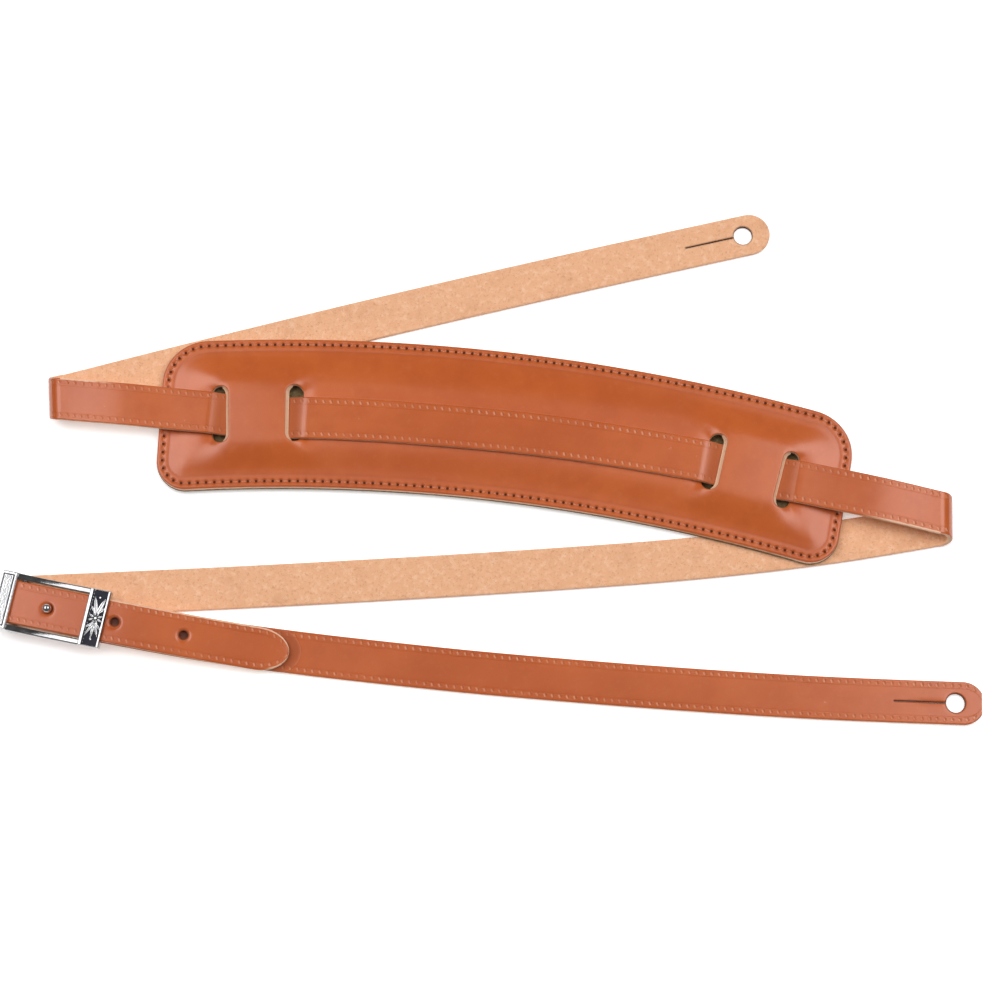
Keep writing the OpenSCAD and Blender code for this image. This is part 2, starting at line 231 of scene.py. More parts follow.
def unit(v):
    return v / np.linalg.norm(v, axis=-1, keepdims=True)


class Line:
    """A strap's centre line: places p, b across it, n to its smooth side, and half widths h."""

    def __init__(self, p, b, n, h):
        self.p, self.b, self.n, self.h = p, b, n, h
        self.s = lengths(p)

    def __add__(self, other):
        near = np.linalg.norm(self.p[-1] - other.p[0]) < 0.3
        cut = 1 if near else 0
        return Line(np.vstack([self.p, other.p[cut:]]), np.vstack([self.b, other.b[cut:]]),
                    np.vstack([self.n, other.n[cut:]]), np.concatenate([self.h, other.h[cut:]]))

    def half(self, s):
        return np.interp(s, self.s, self.h)

    def at(self, s, across, up):
        def pick(a):
            return np.stack([np.interp(s, self.s, a[:, k]) for k in range(3)], axis=1)

        b, n = unit(pick(self.b)), unit(pick(self.n))
        return pick(self.p) + b * np.asarray(across)[..., None] + n * np.asarray(up)[..., None]

    def place(self, s):
        return self.at(np.array([s]), 0, 0)[0]

    def nearest(self, x, y, after=-1.0):
        d = np.hypot(self.p[:, 0] - x, self.p[:, 1] - y) + np.where(self.s < after, 1e3, 0)
        return self.s[np.argmin(d)]


def loop_line(at, out, r, shift, top_first):
    """A half-round fold of outer radius r, bulging towards out, its top shifted sideways."""
    o = np.array([math.cos(math.radians(out)), math.sin(math.radians(out))])
    side = np.array([-o[1], o[0]])
    rho = r - STRAP_T / 2
    phi = np.linspace(0, math.pi, 33)
    if not top_first:
        phi = phi[::-1]
    z = r + rho * np.cos(phi)
    xy = np.array(at) + np.outer(rho * np.sin(phi), o) \
        + np.outer(shift / (2 * r - STRAP_T) * (z - r), side)
    p = raised(xy, z)
    n = np.column_stack([np.outer(np.sin(phi), o), np.cos(phi)])
    b = np.tile(np.append(side * np.sign(side[1]), 0.0), (len(phi), 1))
    return Line(p, b, n, np.full(len(phi), STRAP_W / 2 + 0.05))


def strand_line(xy, z, up, start_b=None, end_b=None, reach=14.0):
    """A strand along xy at centre heights z; up is 1 with its smooth side up and -1 with it down."""
    p = raised(xy, z)
    t = unit(np.gradient(p, axis=0))
    b = unit(np.column_stack([-t[:, 1], t[:, 0], np.zeros(len(t))])) * up
    s = lengths(p)
    square = b.copy()
    for end_dir, away in ((start_b, s), (end_b, s[-1] - s)):
        if end_dir is not None:
            w = smooth(1 - away / reach)[:, None]
            b = unit(b * (1 - w) + np.asarray(end_dir) * w)
    h = STRAP_W / 2 / np.clip((b * square).sum(1), 0.8, 1)
    return Line(p, b, unit(np.cross(t, b)), h)


def pad_frame(xy):
    """u along the pad's middle line and v across it, of places in the lay."""
    c, s = math.cos(PAD_TURN), math.sin(PAD_TURN)
    q = xy - PAD_AT
    x, y = q[:, 0] * c + q[:, 1] * s, -q[:, 0] * s + q[:, 1] * c + PAD_R
    return np.column_stack([np.arctan2(x, y) * PAD_R, np.hypot(x, y) - PAD_R])


def pad_xy(uv):
    """Places in the lay, of u and v."""
    a = uv[:, 0] / PAD_R
    x, y = (PAD_R + uv[:, 1]) * np.sin(a), (PAD_R + uv[:, 1]) * np.cos(a) - PAD_R
    c, s = math.cos(PAD_TURN), math.sin(PAD_TURN)
    return np.column_stack([x * c - y * s, x * s + y * c]) + PAD_AT


def weave_drop(xy):
    """How far the strap is down between a pair of slots, 0 over the pad to 1 under its face."""
    u = pad_frame(xy)[:, 0]
    outer, inner = PAIR_HALF + SLOT_W / 2 + 2.0, PAIR_HALF - SLOT_W / 2 + 0.4
    t = np.maximum(*[(outer - np.abs(u - side * PAIR_U)) / (outer - inner) for side in (-1, 1)])
    return smooth(t)


def come_down(x):
    """How far the tail and the short strap have come down from the buckle to the floor, 0 to 1."""
    return smooth((x - RAMP[0]) / (RAMP[1] - RAMP[0]))


left_turn = loop_line(**LEFT_LOOP, top_first=False)
right_turn = loop_line(**RIGHT_LOOP, top_first=True)
buckle_turn_line = loop_line(**BUCKLE_LOOP, top_first=False)

end_xy = route_curve(END_ROUTE)[::-1]
end_xy = end_xy[end_xy[:, 0] < END_HOLE[0] + HOLE_TO_END * END_LEAN]
end_line = strand_line(end_xy, STRAP_T / 2, -1, end_b=left_turn.b[0])

shoulder_xy = route_curve(SHOULDER_ROUTE, 60)
shoulder_z = OVER_Z + STRAP_T / 2 - WEAVE_DROP * weave_drop(shoulder_xy)
# the leather springs up a little beside the folds
for fold_x, way in ((LEFT_LOOP["at"][0], 1), (RIGHT_LOOP["at"][0], -1)):
    away = way * (shoulder_xy[:, 0] - fold_x)
    shoulder_z += SPRING_UP * smooth(away / 24) * fade(away, 21, 24)
shoulder_line = strand_line(shoulder_xy, shoulder_z, 1, left_turn.b[0], right_turn.b[0])

return_line = strand_line(route_curve(RETURN_ROUTE), STRAP_T / 2, -1, right_turn.b[0],
                          buckle_turn_line.b[0])

tail_xy = route_curve(TAIL_ROUTE)
tail_xy = tail_xy[tail_xy[:, 0] < TIP_X]
tail_z = TAIL_Z + STRAP_T / 2 - SHORT_Z * come_down(tail_xy[:, 0])
tail_line = strand_line(tail_xy, tail_z, 1, start_b=buckle_turn_line.b[0])

long_line = end_line + left_turn + shoulder_line + right_turn + return_line + buckle_turn_line \
    + tail_line

# where the pieces of the long strap meet, along its centre line
marks = {}
reached = 0.0
for key, part in (("left_low", end_line), ("left_top", left_turn), ("right_top", shoulder_line),
                  ("right_low", right_turn), ("buckle_low", return_line),
                  ("buckle_top", buckle_turn_line), ("tip", tail_line)):
    p = part.p[-1]
    near = np.linalg.norm(long_line.p - p, axis=1) + np.where(long_line.s < reached, 1e3, 0)
    reached = marks[key] = long_line.s[np.argmin(near)]

u_along = pad_frame(long_line.p[:, :2])[:, 0]
on_shoulder = (long_line.s > marks["left_top"]) & (long_line.s < marks["right_top"])
pair_edge = PAIR_U + PAIR_REACH
marks["slot_left"] = long_line.s[on_shoulder][np.argmin(np.abs(u_along[on_shoulder] + pair_edge))]
marks["slot_right"] = long_line.s[on_shoulder][np.argmin(np.abs(u_along[on_shoulder] - pair_edge))]

# short strap: flap, turn round the bar, and strand down to its button hole
turn_r = BAR_R + GAP + STRAP_T / 2
flap_x = np.linspace(9.0, BAR_X + 0.01, 40)
flap_drop = smooth((BAR_X + 6.5 - flap_x) / 5.5)
flap_z = FLAP_Z + STRAP_T / 2 - (FLAP_Z + STRAP_T / 2 - (BAR_Z - turn_r)) * flap_drop
flap_line = strand_line(np.array([buckle_xy(x) for x in flap_x]), flap_z, -1)
bar_phi = np.linspace(math.pi, 0, 25)
bar_b = np.array([-BUCKLE_DIR[1], BUCKLE_DIR[0], 0.0])
bar_line = Line(
    np.array([[*buckle_xy(BAR_X - turn_r * math.sin(a)), BAR_Z + turn_r * math.cos(a)]
              for a in bar_phi]),
    np.tile(bar_b, (25, 1)),
    np.array([[*(-math.sin(a) * BUCKLE_DIR), math.cos(a)] for a in bar_phi]),
    np.full(25, STRAP_W / 2 - 0.1))
short_xy = route_curve(SHORT_ROUTE)
short_xy = short_xy[short_xy[:, 0] < SHORT_HOLE[0] + HOLE_TO_END]
short_z = (SHORT_Z + STRAP_T / 2) - SHORT_Z * come_down(short_xy[:, 0])
short_line = flap_line + bar_line + strand_line(short_xy, short_z, 1)
short_hole_s = short_line.nearest(*SHORT_HOLE, after=60.0)

# ---- meshes from plans


class Plan:
    """Points of a flat plan and the loops of its borders."""

    def __init__(self):
        self.points, self.loops, self.count = [], [], 0

    def add(self, points, border=False):
        if border:
            self.loops.append(list(range(self.count, self.count + len(points))))
        self.points.append(points)
        self.count += len(points)


def triangles(plan, keep):
    """Delaunay triangles of a plan, with its borders kept, and the given point behind each vertex."""
    edges = [(loop[i], loop[(i + 1) % len(loop)]) for loop in plan.loops for i in range(len(loop))]
    points = [Vector(p) for p in np.vstack(plan.points)]
    v, _, f, behind, _, _ = delaunay_2d_cdt(points, edges, [], 0, 1e-6)
    xy = np.array([[p.x, p.y] for p in v])
    f = np.array(f, int)
    a, b, c = xy[f[:, 0]], xy[f[:, 1]], xy[f[:, 2]]
    area = (b[:, 0] - a[:, 0]) * (c[:, 1] - a[:, 1]) - (b[:, 1] - a[:, 1]) * (c[:, 0] - a[:, 0])
    good = (np.abs(area) > 1e-7) & keep((a + b + c) / 3)
    f, area = f[good], area[good]
    f[area < 0] = f[area < 0][:, ::-1]
    used = np.unique(f)
    back = np.full(len(xy), -1)
    back[used] = np.arange(len(used))
    first = np.array([behind[i][0] if behind[i] else -1 for i in used])
    return xy[used], back[f], first


def add_object(name, mesh, material):
    obj = bpy.data.objects.new(name, mesh)
    scene.collection.objects.link(obj)
    mesh.materials.append(material)
    return obj


def slab_object(name, top, bottom, tris, maps, material, sharp=60):
    """A closed solid between two surfaces of the same triangles. maps are {uv map: (top, bottom)}."""
    n = len(top)
    directed = set()
    for t in tris:
        for i in range(3):
            directed.add((int(t[i]), int(t[(i + 1) % 3])))
    walls = [(a, a + n, b + n, b) for a, b in directed if (b, a) not in directed]
    upper = [tuple(map(int, t)) for t in tris]
    faces = upper + [tuple(i + n for i in t[::-1]) for t in upper] + walls
    mesh = bpy.data.meshes.new(name)
    mesh.from_pydata((np.vstack([top, bottom]) * MM).tolist(), [], faces)
    corner = np.empty(len(mesh.loops), int)
    mesh.loops.foreach_get("vertex_index", corner)
    for key, (a, b) in maps.items():
        layer = mesh.uv_layers.new(name=key)
        layer.data.foreach_set("uv", np.vstack([a, b])[corner].astype(np.float32).ravel())
    mesh.shade_smooth()
    mesh.set_sharp_from_angle(angle=math.radians(sharp))
    return add_object(name, mesh, material)


def stadium(p0, p1, r, n):
    """Closed loop round the segment p0 p1 at distance r, with n steps round each end."""
    p0, p1 = np.array(p0, float), np.array(p1, float)
    d = p1 - p0
    a = np.linspace(-math.pi / 2, math.pi / 2, n + 1) + math.atan2(d[1], d[0])
    cap = r * on_circle(a)
    cap1, cap0 = p1 + cap, p0 - cap
    side_n = int(np.hypot(*d) / 1.2)
    k = (np.arange(1, side_n) / side_n)[:, None]
    up = cap1[-1] + (cap0[0] - cap1[-1]) * k
    down = cap0[-1] + (cap1[0] - cap0[-1]) * k
    return np.vstack([cap1, up, cap0, down])


def from_segment(xy, p0, p1):
    """Distance of places from the segment p0 p1."""
    p0, d = np.array(p0, float), np.array(p1, float) - np.array(p0, float)
    t = np.clip(((xy - p0) @ d) / max(d @ d, 1e-12), 0, 1)
    return np.linalg.norm(xy - p0 - t[:, None] * d, axis=1)


class Hole:
    """A round hole on a strap's middle line; reach is the signed length of its slit, if any."""

    def __init__(self, s, r, reach=0.0):
        self.s, self.r, self.reach = s, r, reach

    def loop(self, o):
        r, h = self.r + o, SLIT_HALF + o
        if not self.reach:
            a = np.linspace(0, 2 * math.pi, 33)[:-1]
            return [self.s, 0.0] + r * on_circle(a)
        a0 = math.asin(h / r)
        a = np.linspace(a0, 2 * math.pi - a0, 33)
        ring = r * on_circle(a)
        far = abs(self.reach) + self.r - SLIT_HALF
        x = np.linspace(r * math.cos(a0), far, 16)[1:]
        tip = np.linspace(-math.pi / 2, math.pi / 2, 7)[1:-1]
        tip = np.column_stack([far + h * np.cos(tip), h * np.sin(tip)])
        slit = np.column_stack([x, np.full(15, -h)])
        ring = np.vstack([ring, slit, tip, slit[::-1] * [1, -1]])
        ring[:, 0] *= np.sign(self.reach)
        return [self.s, 0.0] + ring

    def distance(self, xy):
        d = np.hypot(xy[:, 0] - self.s, xy[:, 1]) - self.r
        if self.reach:
            far = self.s + self.reach + np.sign(self.reach) * (self.r - SLIT_HALF)
            d = np.minimum(d, from_segment(xy, (self.s, 0.0), (far, 0.0)) - SLIT_HALF)
        return d


ACROSS = (0.1, 0.3, 0.7, 1.5, 2.6, 3.8, 5.8)
ROW_GAP = 0.1
FOLD_STEP = 0.4
FINE_STEP = 0.5
WEAVE_LEN = 45
CUT_SIDE = 0.55
LAY_UNIT = 0.01


def rounded(start, end, s0, s1):
    """The rounded ends of a piece, each with its length, direction and place."""
    return [(shape, sign, at) for shape, sign, at in ((start, -1, s0), (end, 1, s1)) if shape]


def strap_rows(s0, s1, ends, step, fine):
    """Where the rows of points lie along a piece: closer in fine stretches and at rounded ends."""
    rows = [np.arange(s0, s1, step)]
    for a, b, fine_step in fine:
        rows.append(np.arange(max(a, s0), min(b, s1), fine_step))
    for shape, sign, at in ends:
        rows.append(at - sign * shape * (1 - np.sin(np.linspace(0, math.pi / 2, 16))))
    rows = np.unique(np.concatenate(rows))
    rows = rows[(rows > s0 + ROW_GAP) & (rows < s1 - ROW_GAP)]
    rows = rows[np.concatenate([[True], np.diff(rows) > ROW_GAP])]
    return np.concatenate([[s0], rows, [s1]])


def strap_plan(rows, half, holes):
    """Points and borders of a piece laid flat, with the holes and rings of points round them."""
    points, low, high = [], [], []
    for s in rows:
        h = float(half(np.array([s]))[0])
        low.append(len(points))
        if h < 0.05:
            points.append((s, 0.0))
            continue
        points.append((s, -h))
        high.append(len(points))
        points.append((s, h))
        for d in ACROSS:
            if d < h - 0.3:
                points += [(s, -h + d), (s, h - d)]
        if h > 0.6:
            points.append((s, 0.0))
    points = np.array(points)
    border = np.zeros(len(points), bool)
    border[low + high] = True
    clear = np.ones(len(points), bool)
    for hole in holes:
        clear &= (hole.distance(points) > (1.0 if hole.reach else 2.2)) | border
    index = np.cumsum(clear) - 1
    plan = Plan()
    plan.add(points[clear])
    plan.loops.append([int(index[i]) for i in low + high[::-1]])
    for hole in holes:
        plan.add(hole.loop(0.0), border=True)
        for away in (0.1, 0.3, 0.65) + (() if hole.reach else (1.0, 1.4, 1.8)):
            plan.add(hole.loop(away))
    return plan


def strap_piece(name, line, s0, s1, material, start=None, end=None, holes=(), dimples=(), step=1.0,
                fine=(), wear=None):
    """A length of strap. start and end are the lengths over which its ends are rounded.
    wear gives, of places, how dark its smooth side is painted, for shade in some places and for wear
    in others, and how bare of finish it is."""
    ends = rounded(start, end, s0, s1)

    def half(s):
        h = line.half(s)
        for shape, sign, at in ends:
            t = np.clip(sign * (s - (at - sign * shape)) / shape, 0, 1)
            h = h * np.sqrt(np.maximum(1 - t * t, 0))
        return h

    def keep(c):
        in_holes = [hole.distance(c) <= 0 for hole in holes]
        return (np.abs(c[:, 1]) < half(c[:, 0])) & ~np.any(in_holes, axis=0)

    xy, tris, _ = triangles(strap_plan(strap_rows(s0, s1, ends, step, fine), half, holes), keep)
    edge = half(xy[:, 0]) - np.abs(xy[:, 1])
    near = np.maximum(np.min([edge] + [hole.distance(xy) for hole in holes], axis=0), 0)
    fall = round_over(near, EDGE_ROUND)
    up, down = STRAP_T / 2 - fall, -STRAP_T / 2 + fall
    for s, b, r, depth in dimples:
        d = np.hypot(xy[:, 0] - s, xy[:, 1] - b)
        up = up - depth * fade(d, r, 1.5)
    side = np.where(near < 0.05, CUT_SIDE, 1.0)
    lay = xy * LAY_UNIT
    wear_and_shade = np.zeros((len(xy), 2))
    if wear:
        wear_and_shade[:, 0], wear_and_shade[:, 1] = wear(xy)
    # painted shade along slits, too thin to show their own, which also darkens a worn rim round the
    # hole
    for hole in holes:
        if hole.reach:
            wear_and_shade[:, 0] = np.maximum(wear_and_shade[:, 0], 0.7 * fade(hole.distance(xy), 0.08, 0.4))
    maps = {"lay": (lay, lay), "wear": (wear_and_shade, wear_and_shade * [1, 0]),
            "edge": (np.column_stack([edge, side]), np.column_stack([edge, -side]))}
    top, bottom = (line.at(xy[:, 0], xy[:, 1], z) for z in (up, down))
    return slab_object(name, top, bottom, tris, maps, material)


# ---- materials


OBJECT_OUT = 3


class Nodes:
    """A material whose Principled shader is fed by nodes."""

    def __init__(self, name):
        self.material = bpy.data.materials.new(name)
        self.material.use_nodes = True
        self.tree = self.material.node_tree
        self.shader = self.tree.nodes["Principled BSDF"]

    def put(self, socket, value):
        if isinstance(value, bpy.types.NodeSocket):
            self.tree.links.new(value, socket)
        elif isinstance(value, (tuple, list)) and len(value) == 3 and socket.type == "RGBA":
            socket.default_value = (*value, 1.0)
        else:
            socket.default_value = value

    def add(self, kind, out=0, inputs=None, **props):
        node = self.tree.nodes.new("ShaderNode" + kind)
        for k, v in props.items():
            setattr(node, k, v)
        for k, v in (inputs or {}).items():
            self.put(node.inputs[k], v)
        return node.outputs[out]

    def math(self, op, a, b=0.0):
        return self.add("Math", operation=op, inputs={0: a, 1: b})

    def times(self, a, b):
        return self.math("MULTIPLY", a, b)

    def plus(self, a, b):
        return self.math("ADD", a, b)

    def minus(self, a, b):
        return self.math("SUBTRACT", a, b)

    def near(self, value, full, none):
        """1 where the value is within full of 0, falling to 0 where it is further than none."""
        return self.ramp(self.math("ABSOLUTE", value), full, none, 1.0, 0.0)

    def ramp(self, value, low, high, to_low=0.0, to_high=1.0):
        return self.add("MapRange", interpolation_type="SMOOTHSTEP",
                        inputs={0: value, 1: low, 2: high, 3: to_low, 4: to_high})

    def mix(self, a, b, t):
        return self.add("Mix", 2, {0: t, 6: a, 7: b}, data_type="RGBA")

    def tint(self, colour, other, value, low, high, most):
        """The colour mixed towards another by up to most, as the value goes from low to high."""
        return self.mix(colour, other, self.times(self.ramp(value, low, high), most))

    def noise(self, scale, detail, rough):
        """Noise laid out in the object's own frame."""
        where = self.add("TexCoord", OBJECT_OUT)
        return self.add("TexNoise", inputs={"Vector": where, "Scale": scale, "Detail": detail,
                                            "Roughness": rough})

    def uv(self, name):
        first = self.add("SeparateXYZ", inputs={0: self.add("UVMap", uv_map=name)})
        return first, first.node.outputs[1]

    def either(self, is_second, first, second):
        """One value on one surface and another on the other."""
        return self.add("MapRange", inputs={0: is_second, 1: 0.0, 2: 1.0, 3: first, 4: second})

    def bump(self, height, distance, strength=1.0, under=None):
        inputs = {"Height": height, "Distance": distance, "Strength": strength}
        if under is not None:
            inputs["Normal"] = under
        return self.add("Bump", inputs=inputs)

    def finish(self, **sockets):
        for k, v in sockets.items():
            self.put(self.shader.inputs[k.replace("_", " ")], v)
        return self.material


SMOOTH = (0.490, 0.101, 0.017)
SMOOTH_DARK = (0.415, 0.076, 0.0115)
SMOOTH_PALE = (0.56, 0.155, 0.043)
ROUGH = (0.79, 0.42, 0.235)
ROUGH_DARK = (0.46, 0.20, 0.095)
ROUGH_PALE = (0.88, 0.55, 0.36)
CUT = (0.72, 0.44, 0.27)
PAD_CUT = (0.80, 0.52, 0.34)
RAW = (0.80, 0.50, 0.33)
TICK = (0.70, 0.30, 0.15)
DENT_SHADE = (0.24, 0.045, 0.010)
GROOVE_SHADE = (0.33, 0.068, 0.02)
HOLE_WALL_SHADE = (0.10, 0.03, 0.012)
NEEDLE_HOLE_SHADE = (0.045, 0.010, 0.004)
SHADE = (0.035, 0.008, 0.003)
SUEDE = (0.32, 0.23, 0.12)
SUEDE_DARK = (0.16, 0.105, 0.045)
SUEDE_DIRT = (0.12, 0.075, 0.03)
FOAM = (0.75, 0.70, 0.60)
FOAM_DARK = (0.55, 0.48, 0.38)
THREAD = (0.60, 0.24, 0.12)
THREAD_DARK = (0.42, 0.115, 0.045)
CHROME_DARK = (0.42, 0.42, 0.43)
CHROME_PALE = (0.52, 0.52, 0.525)
TARNISH = (0.035, 0.035, 0.045)


def leather_base(m, scale=1.0):
    """Colour and height of full-grain leather: slow mottling, fine grain and a few specks."""
    slow = m.noise(18 * scale, 3, 0.55)
    fine = m.noise(420 * scale, 4, 0.6)
    speck = m.noise(900 * scale, 1, 0.5)
    mottle = m.noise(95 * scale, 5, 0.65)
    colour = m.mix(SMOOTH_DARK, SMOOTH, m.ramp(slow, 0.25, 0.62))
    colour = m.tint(colour, SMOOTH_DARK, mottle, 0.42, 0.66, 0.5)
    colour = m.tint(colour, SMOOTH_PALE, fine, 0.50, 0.85, 0.25)
    colour = m.tint(colour, SMOOTH_PALE, speck, 0.70, 0.78, 0.2)
    return colour, m.plus(m.times(fine, 0.7), m.times(slow, 0.3))


def strap_leather(name):
    m = Nodes(name)
    colour, grain = leather_base(m)
    along, across = m.uv("lay")
    edge, side = m.uv("edge")
    shade, raw = m.uv("wear")
    mm_along = m.times(along, 1 / LAY_UNIT)
    # mock stitching pressed in beside a crease: slanted ticks, and a line that closes them off
    tick = m.minus(m.math("FRACT", m.math("DIVIDE", mm_along, TICK_PITCH)), 0.5)
    tick = m.times(tick, TICK_PITCH)
    from_row = m.minus(edge, TICK_INSET)
    mirrored = m.times(from_row, m.math("SIGN", across))
    long_way = m.plus(m.times(tick, 0.42), m.times(mirrored, 0.91))
    cross_way = m.minus(m.times(tick, 0.91), m.times(mirrored, 0.42))
    body = m.times(m.near(cross_way, 0.18, 0.42), m.near(long_way, 0.45, 0.80))
    beside = m.times(m.near(m.minus(cross_way, 0.62), 0.12, 0.34), m.near(long_way, 0.3, 0.75))
    uneven = m.ramp(m.noise(60, 2, 0.5), 0.30, 0.65, 0.35, 1.0)
    crease = m.near(m.minus(edge, CREASE_INSET), 0.05, 0.28)
    colour = m.mix(colour, TICK, m.times(m.times(body, uneven), 0.6))
    # painted shade beside each tick and along the crease
    dark = m.times(m.math("MAXIMUM", beside, m.times(crease, 0.32)), 0.4)
    colour = m.mix(colour, DENT_SHADE, m.times(dark, uneven))
    # rough side
    spots = m.noise(1250, 3, 0.7)
    fibre = m.noise(420, 4, 0.7)
    rough = m.tint(ROUGH, ROUGH_PALE, fibre, 0.46, 0.72, 0.8)
    rough = m.tint(rough, ROUGH_DARK, spots, 0.54, 0.68, 0.5)
    rough = m.tint(rough, ROUGH_DARK, m.noise(110, 3, 0.6), 0.5, 0.8, 0.25)
    edge_noise = m.noise(500, 3, 0.6)
    cut = m.tint(CUT, ROUGH_DARK, edge_noise, 0.52, 0.75, 0.5)
    # walls of holes are painted dark for the shade inside them, the strap's own cut edges are raw
    cut = m.mix(cut, HOLE_WALL_SHADE, m.ramp(edge, 2.0, 3.0))
    bare = m.times(raw, m.ramp(m.plus(edge, m.times(edge_noise, 0.5)), 0.7, 1.0, 1.0, 0.0))
    colour = m.mix(colour, RAW, bare)
    is_smooth = m.ramp(side, 0.62, 0.78)
    is_rough = m.ramp(side, -0.62, -0.78)
    colour = m.mix(m.mix(cut, colour, is_smooth), rough, is_rough)
    # the wear map's first channel darkens the leather: painted shade where the strap dips into the
    # slots, under the tail's holes, round its tip and along slits, and pressed dark rings round holes
    colour = m.mix(colour, SHADE, shade)
    pressed = m.minus(m.times(body, 0.8), m.plus(beside, m.times(crease, 0.35)))
    pressed = m.times(pressed, is_smooth)
    relief = m.bump(grain, 0.00006, 0.2)
    relief = m.bump(pressed, 0.00013, 0.8, relief)
    relief = m.bump(m.times(m.plus(spots, fibre), m.minus(1.0, is_smooth)), 0.0005, 0.8, relief)
    dull = m.either(is_smooth, 0.9, m.ramp(grain, 0.2, 0.8, 0.22, 0.28))
    dull = m.math("MAXIMUM", dull, m.ramp(shade, 0.0, SLOT_SHADE, 0.0, 0.75))
    return m.finish(Base_Color=colour, Roughness=dull, Normal=relief, Specular_IOR_Level=1.0)


def pad_leather(name):
    m = Nodes(name)
    colour, grain = leather_base(m, 0.9)
    seam, inset = m.uv("seam")
    side, _ = m.uv("side")
    # needle holes between the stitches, painted dark for the shade inside them
    pitch = m.times(m.minus(m.math("FRACT", m.plus(seam, 0.5)), 0.5), SEAM_PITCH)
    off_row = m.minus(inset, SEAM_INSET)
    hole = m.math("SQRT", m.plus(m.math("POWER", pitch, 2.0), m.math("POWER", off_row, 2.0)))
    pit = m.ramp(hole, 0.36, 0.60, 1.0, 0.0)
    dent = m.ramp(hole, 0.5, 1.3, 1.0, 0.0)
    # painted shade in the seam's channel and along the crease at the foot of the step
    channel = m.near(off_row, 0.25, 0.85)
    colour = m.mix(colour, GROOVE_SHADE, m.times(channel, 0.35))
    crease = m.near(m.minus(inset, RIM_CREASE), 0.1, 0.6)
    colour = m.mix(colour, GROOVE_SHADE, m.times(crease, 0.3))
    colour = m.mix(colour, NEEDLE_HOLE_SHADE, m.times(pit, 0.9))
    edge_noise = m.noise(500, 3, 0.6)
    cut = m.tint(PAD_CUT, ROUGH_DARK, edge_noise, 0.50, 0.75, 0.4)
    is_face = m.ramp(side, 0.62, 0.78)
    colour = m.mix(cut, colour, is_face)
    relief = m.bump(grain, 0.00004, 0.15)
    pressed = m.plus(m.times(dent, -1.0), m.times(pit, -1.5))
    relief = m.bump(m.times(pressed, is_face), 0.0002, 1.0, relief)
    dull = m.either(is_face, 0.85, m.ramp(grain, 0.2, 0.8, 0.27, 0.33))
    dull = m.math("MAXIMUM", dull, pit)
    return m.finish(Base_Color=colour, Roughness=dull, Normal=relief, Specular_IOR_Level=1.0)


def fibrous(name, noise, dark, pale, low, high, depth, strength, dirt=None, **sockets):
    """A dull look: one noise mottles it between two colours and raises it, with dirt over both."""
    m = Nodes(name)
    grain = m.noise(*noise)
    colour = m.mix(dark, pale, m.ramp(grain, low, high))
    if dirt:
        colour = m.tint(colour, dirt, m.noise(60, 2, 0.5), 0.4, 0.7, 0.5)
    return m.finish(Base_Color=colour, Normal=m.bump(grain, depth, strength), **sockets)


def chrome_look(name, relief_map=None, bright=1.0):
    m = Nodes(name)
    haze = m.noise(300, 3, 0.6)
    rough = m.ramp(haze, 0.3, 0.7, 0.05, 0.14)
    dark, pale = ([bright * c for c in colour] for colour in (CHROME_DARK, CHROME_PALE))
    colour = m.mix(dark, pale, m.ramp(haze, 0.35, 0.65))
    if relief_map:
        height, _ = m.uv(relief_map)
        low = m.ramp(height, 0.10, 0.38, 1.0, 0.0)
        colour = m.mix(colour, TARNISH, low)
        rough = m.plus(rough, m.times(low, 0.35))
    wear = m.bump(m.noise(2200, 2, 0.5), 0.00004, 0.3)
    return m.finish(Base_Color=colour, Roughness=rough, Metallic=1.0, Normal=wear)


leather = strap_leather("strap_leather_mat")
face_leather = pad_leather("pad_leather_mat")
suede_mat = fibrous("suede_mat", (700, 4, 0.7), SUEDE_DARK, SUEDE, 0.35, 0.7, 0.0006, 0.9, SUEDE_DIRT,
                    Roughness=0.95, Sheen_Weight=0.35, Sheen_Roughness=0.5, Specular_IOR_Level=0.2)
foam_mat = fibrous("foam_mat", (900, 3, 0.7), FOAM_DARK, FOAM, 0.4, 0.6, 0.0005, 0.8, Roughness=0.95)
thread_mat = fibrous("thread_mat", (1500, 2, 0.5), THREAD_DARK, THREAD, 0.4, 0.62, 0.0002, 0.8,
                     Roughness=0.8, Specular_IOR_Level=0.2)
chrome = chrome_look("chrome_mat")
# the relief plates and the stud get brighter copies of the chrome: painted light, for the light they
# catch
relief_chrome = chrome_look("relief_chrome_mat", "relief", bright=1.35)
stud_chrome = chrome_look("stud_chrome_mat", bright=1.7)

# ---- long strap


def spot(xy, z):
    """A place given in mm, in metres."""
    return (xy[0] * MM, xy[1] * MM, z * MM)


def left_wear(xy):
    """Finish worn off the far edge beside the left fold."""
    return 0, (xy[:, 1] > 0) * fade(xy[:, 0] - marks["left_top"], 8, 14)


def right_wear(xy):
    """Finish worn off the near edge beside the right fold."""
    return 0, (xy[:, 1] < 0) * smooth((xy[:, 0] - marks["right_top"] + 30) / 14)


def slot_painted_shade(xy):
    """Painted shade where the strap dips into the slots, which also makes the leather dull there."""
    place = long_line.at(xy[:, 0], 0, 0)[:, :2]
    off = np.min([np.abs(pad_frame(place)[:, 0] - side * PAIR_U) for side in (-1, 1)], axis=0)
    return SLOT_SHADE * smooth((PAIR_HALF + SLOT_W / 2 + 4.5 - off) / 9.0), 0


def tail_wear(xy):
    """Dark rings pressed round the free holes, and a bare edge on the tail's far side and tip."""
    from_stud, *from_holes = [np.hypot(xy[:, 0] - s, xy[:, 1]) - TAIL_HOLE_R for s in tail_s]
    ring = np.max([fade(d, 0.15, 0.75) for d in from_holes], axis=0)
    bare = np.maximum(smooth(xy[:, 1] / 0.5), smooth((xy[:, 0] - marks["tip"] + 8) / 3))
    bare *= smooth((xy[:, 0] - tail_s[1] + 6) / 2)
    return np.maximum(0.45 * ring, 0.75 * fade(from_stud, 0.2, 0.6)), 0.9 * bare


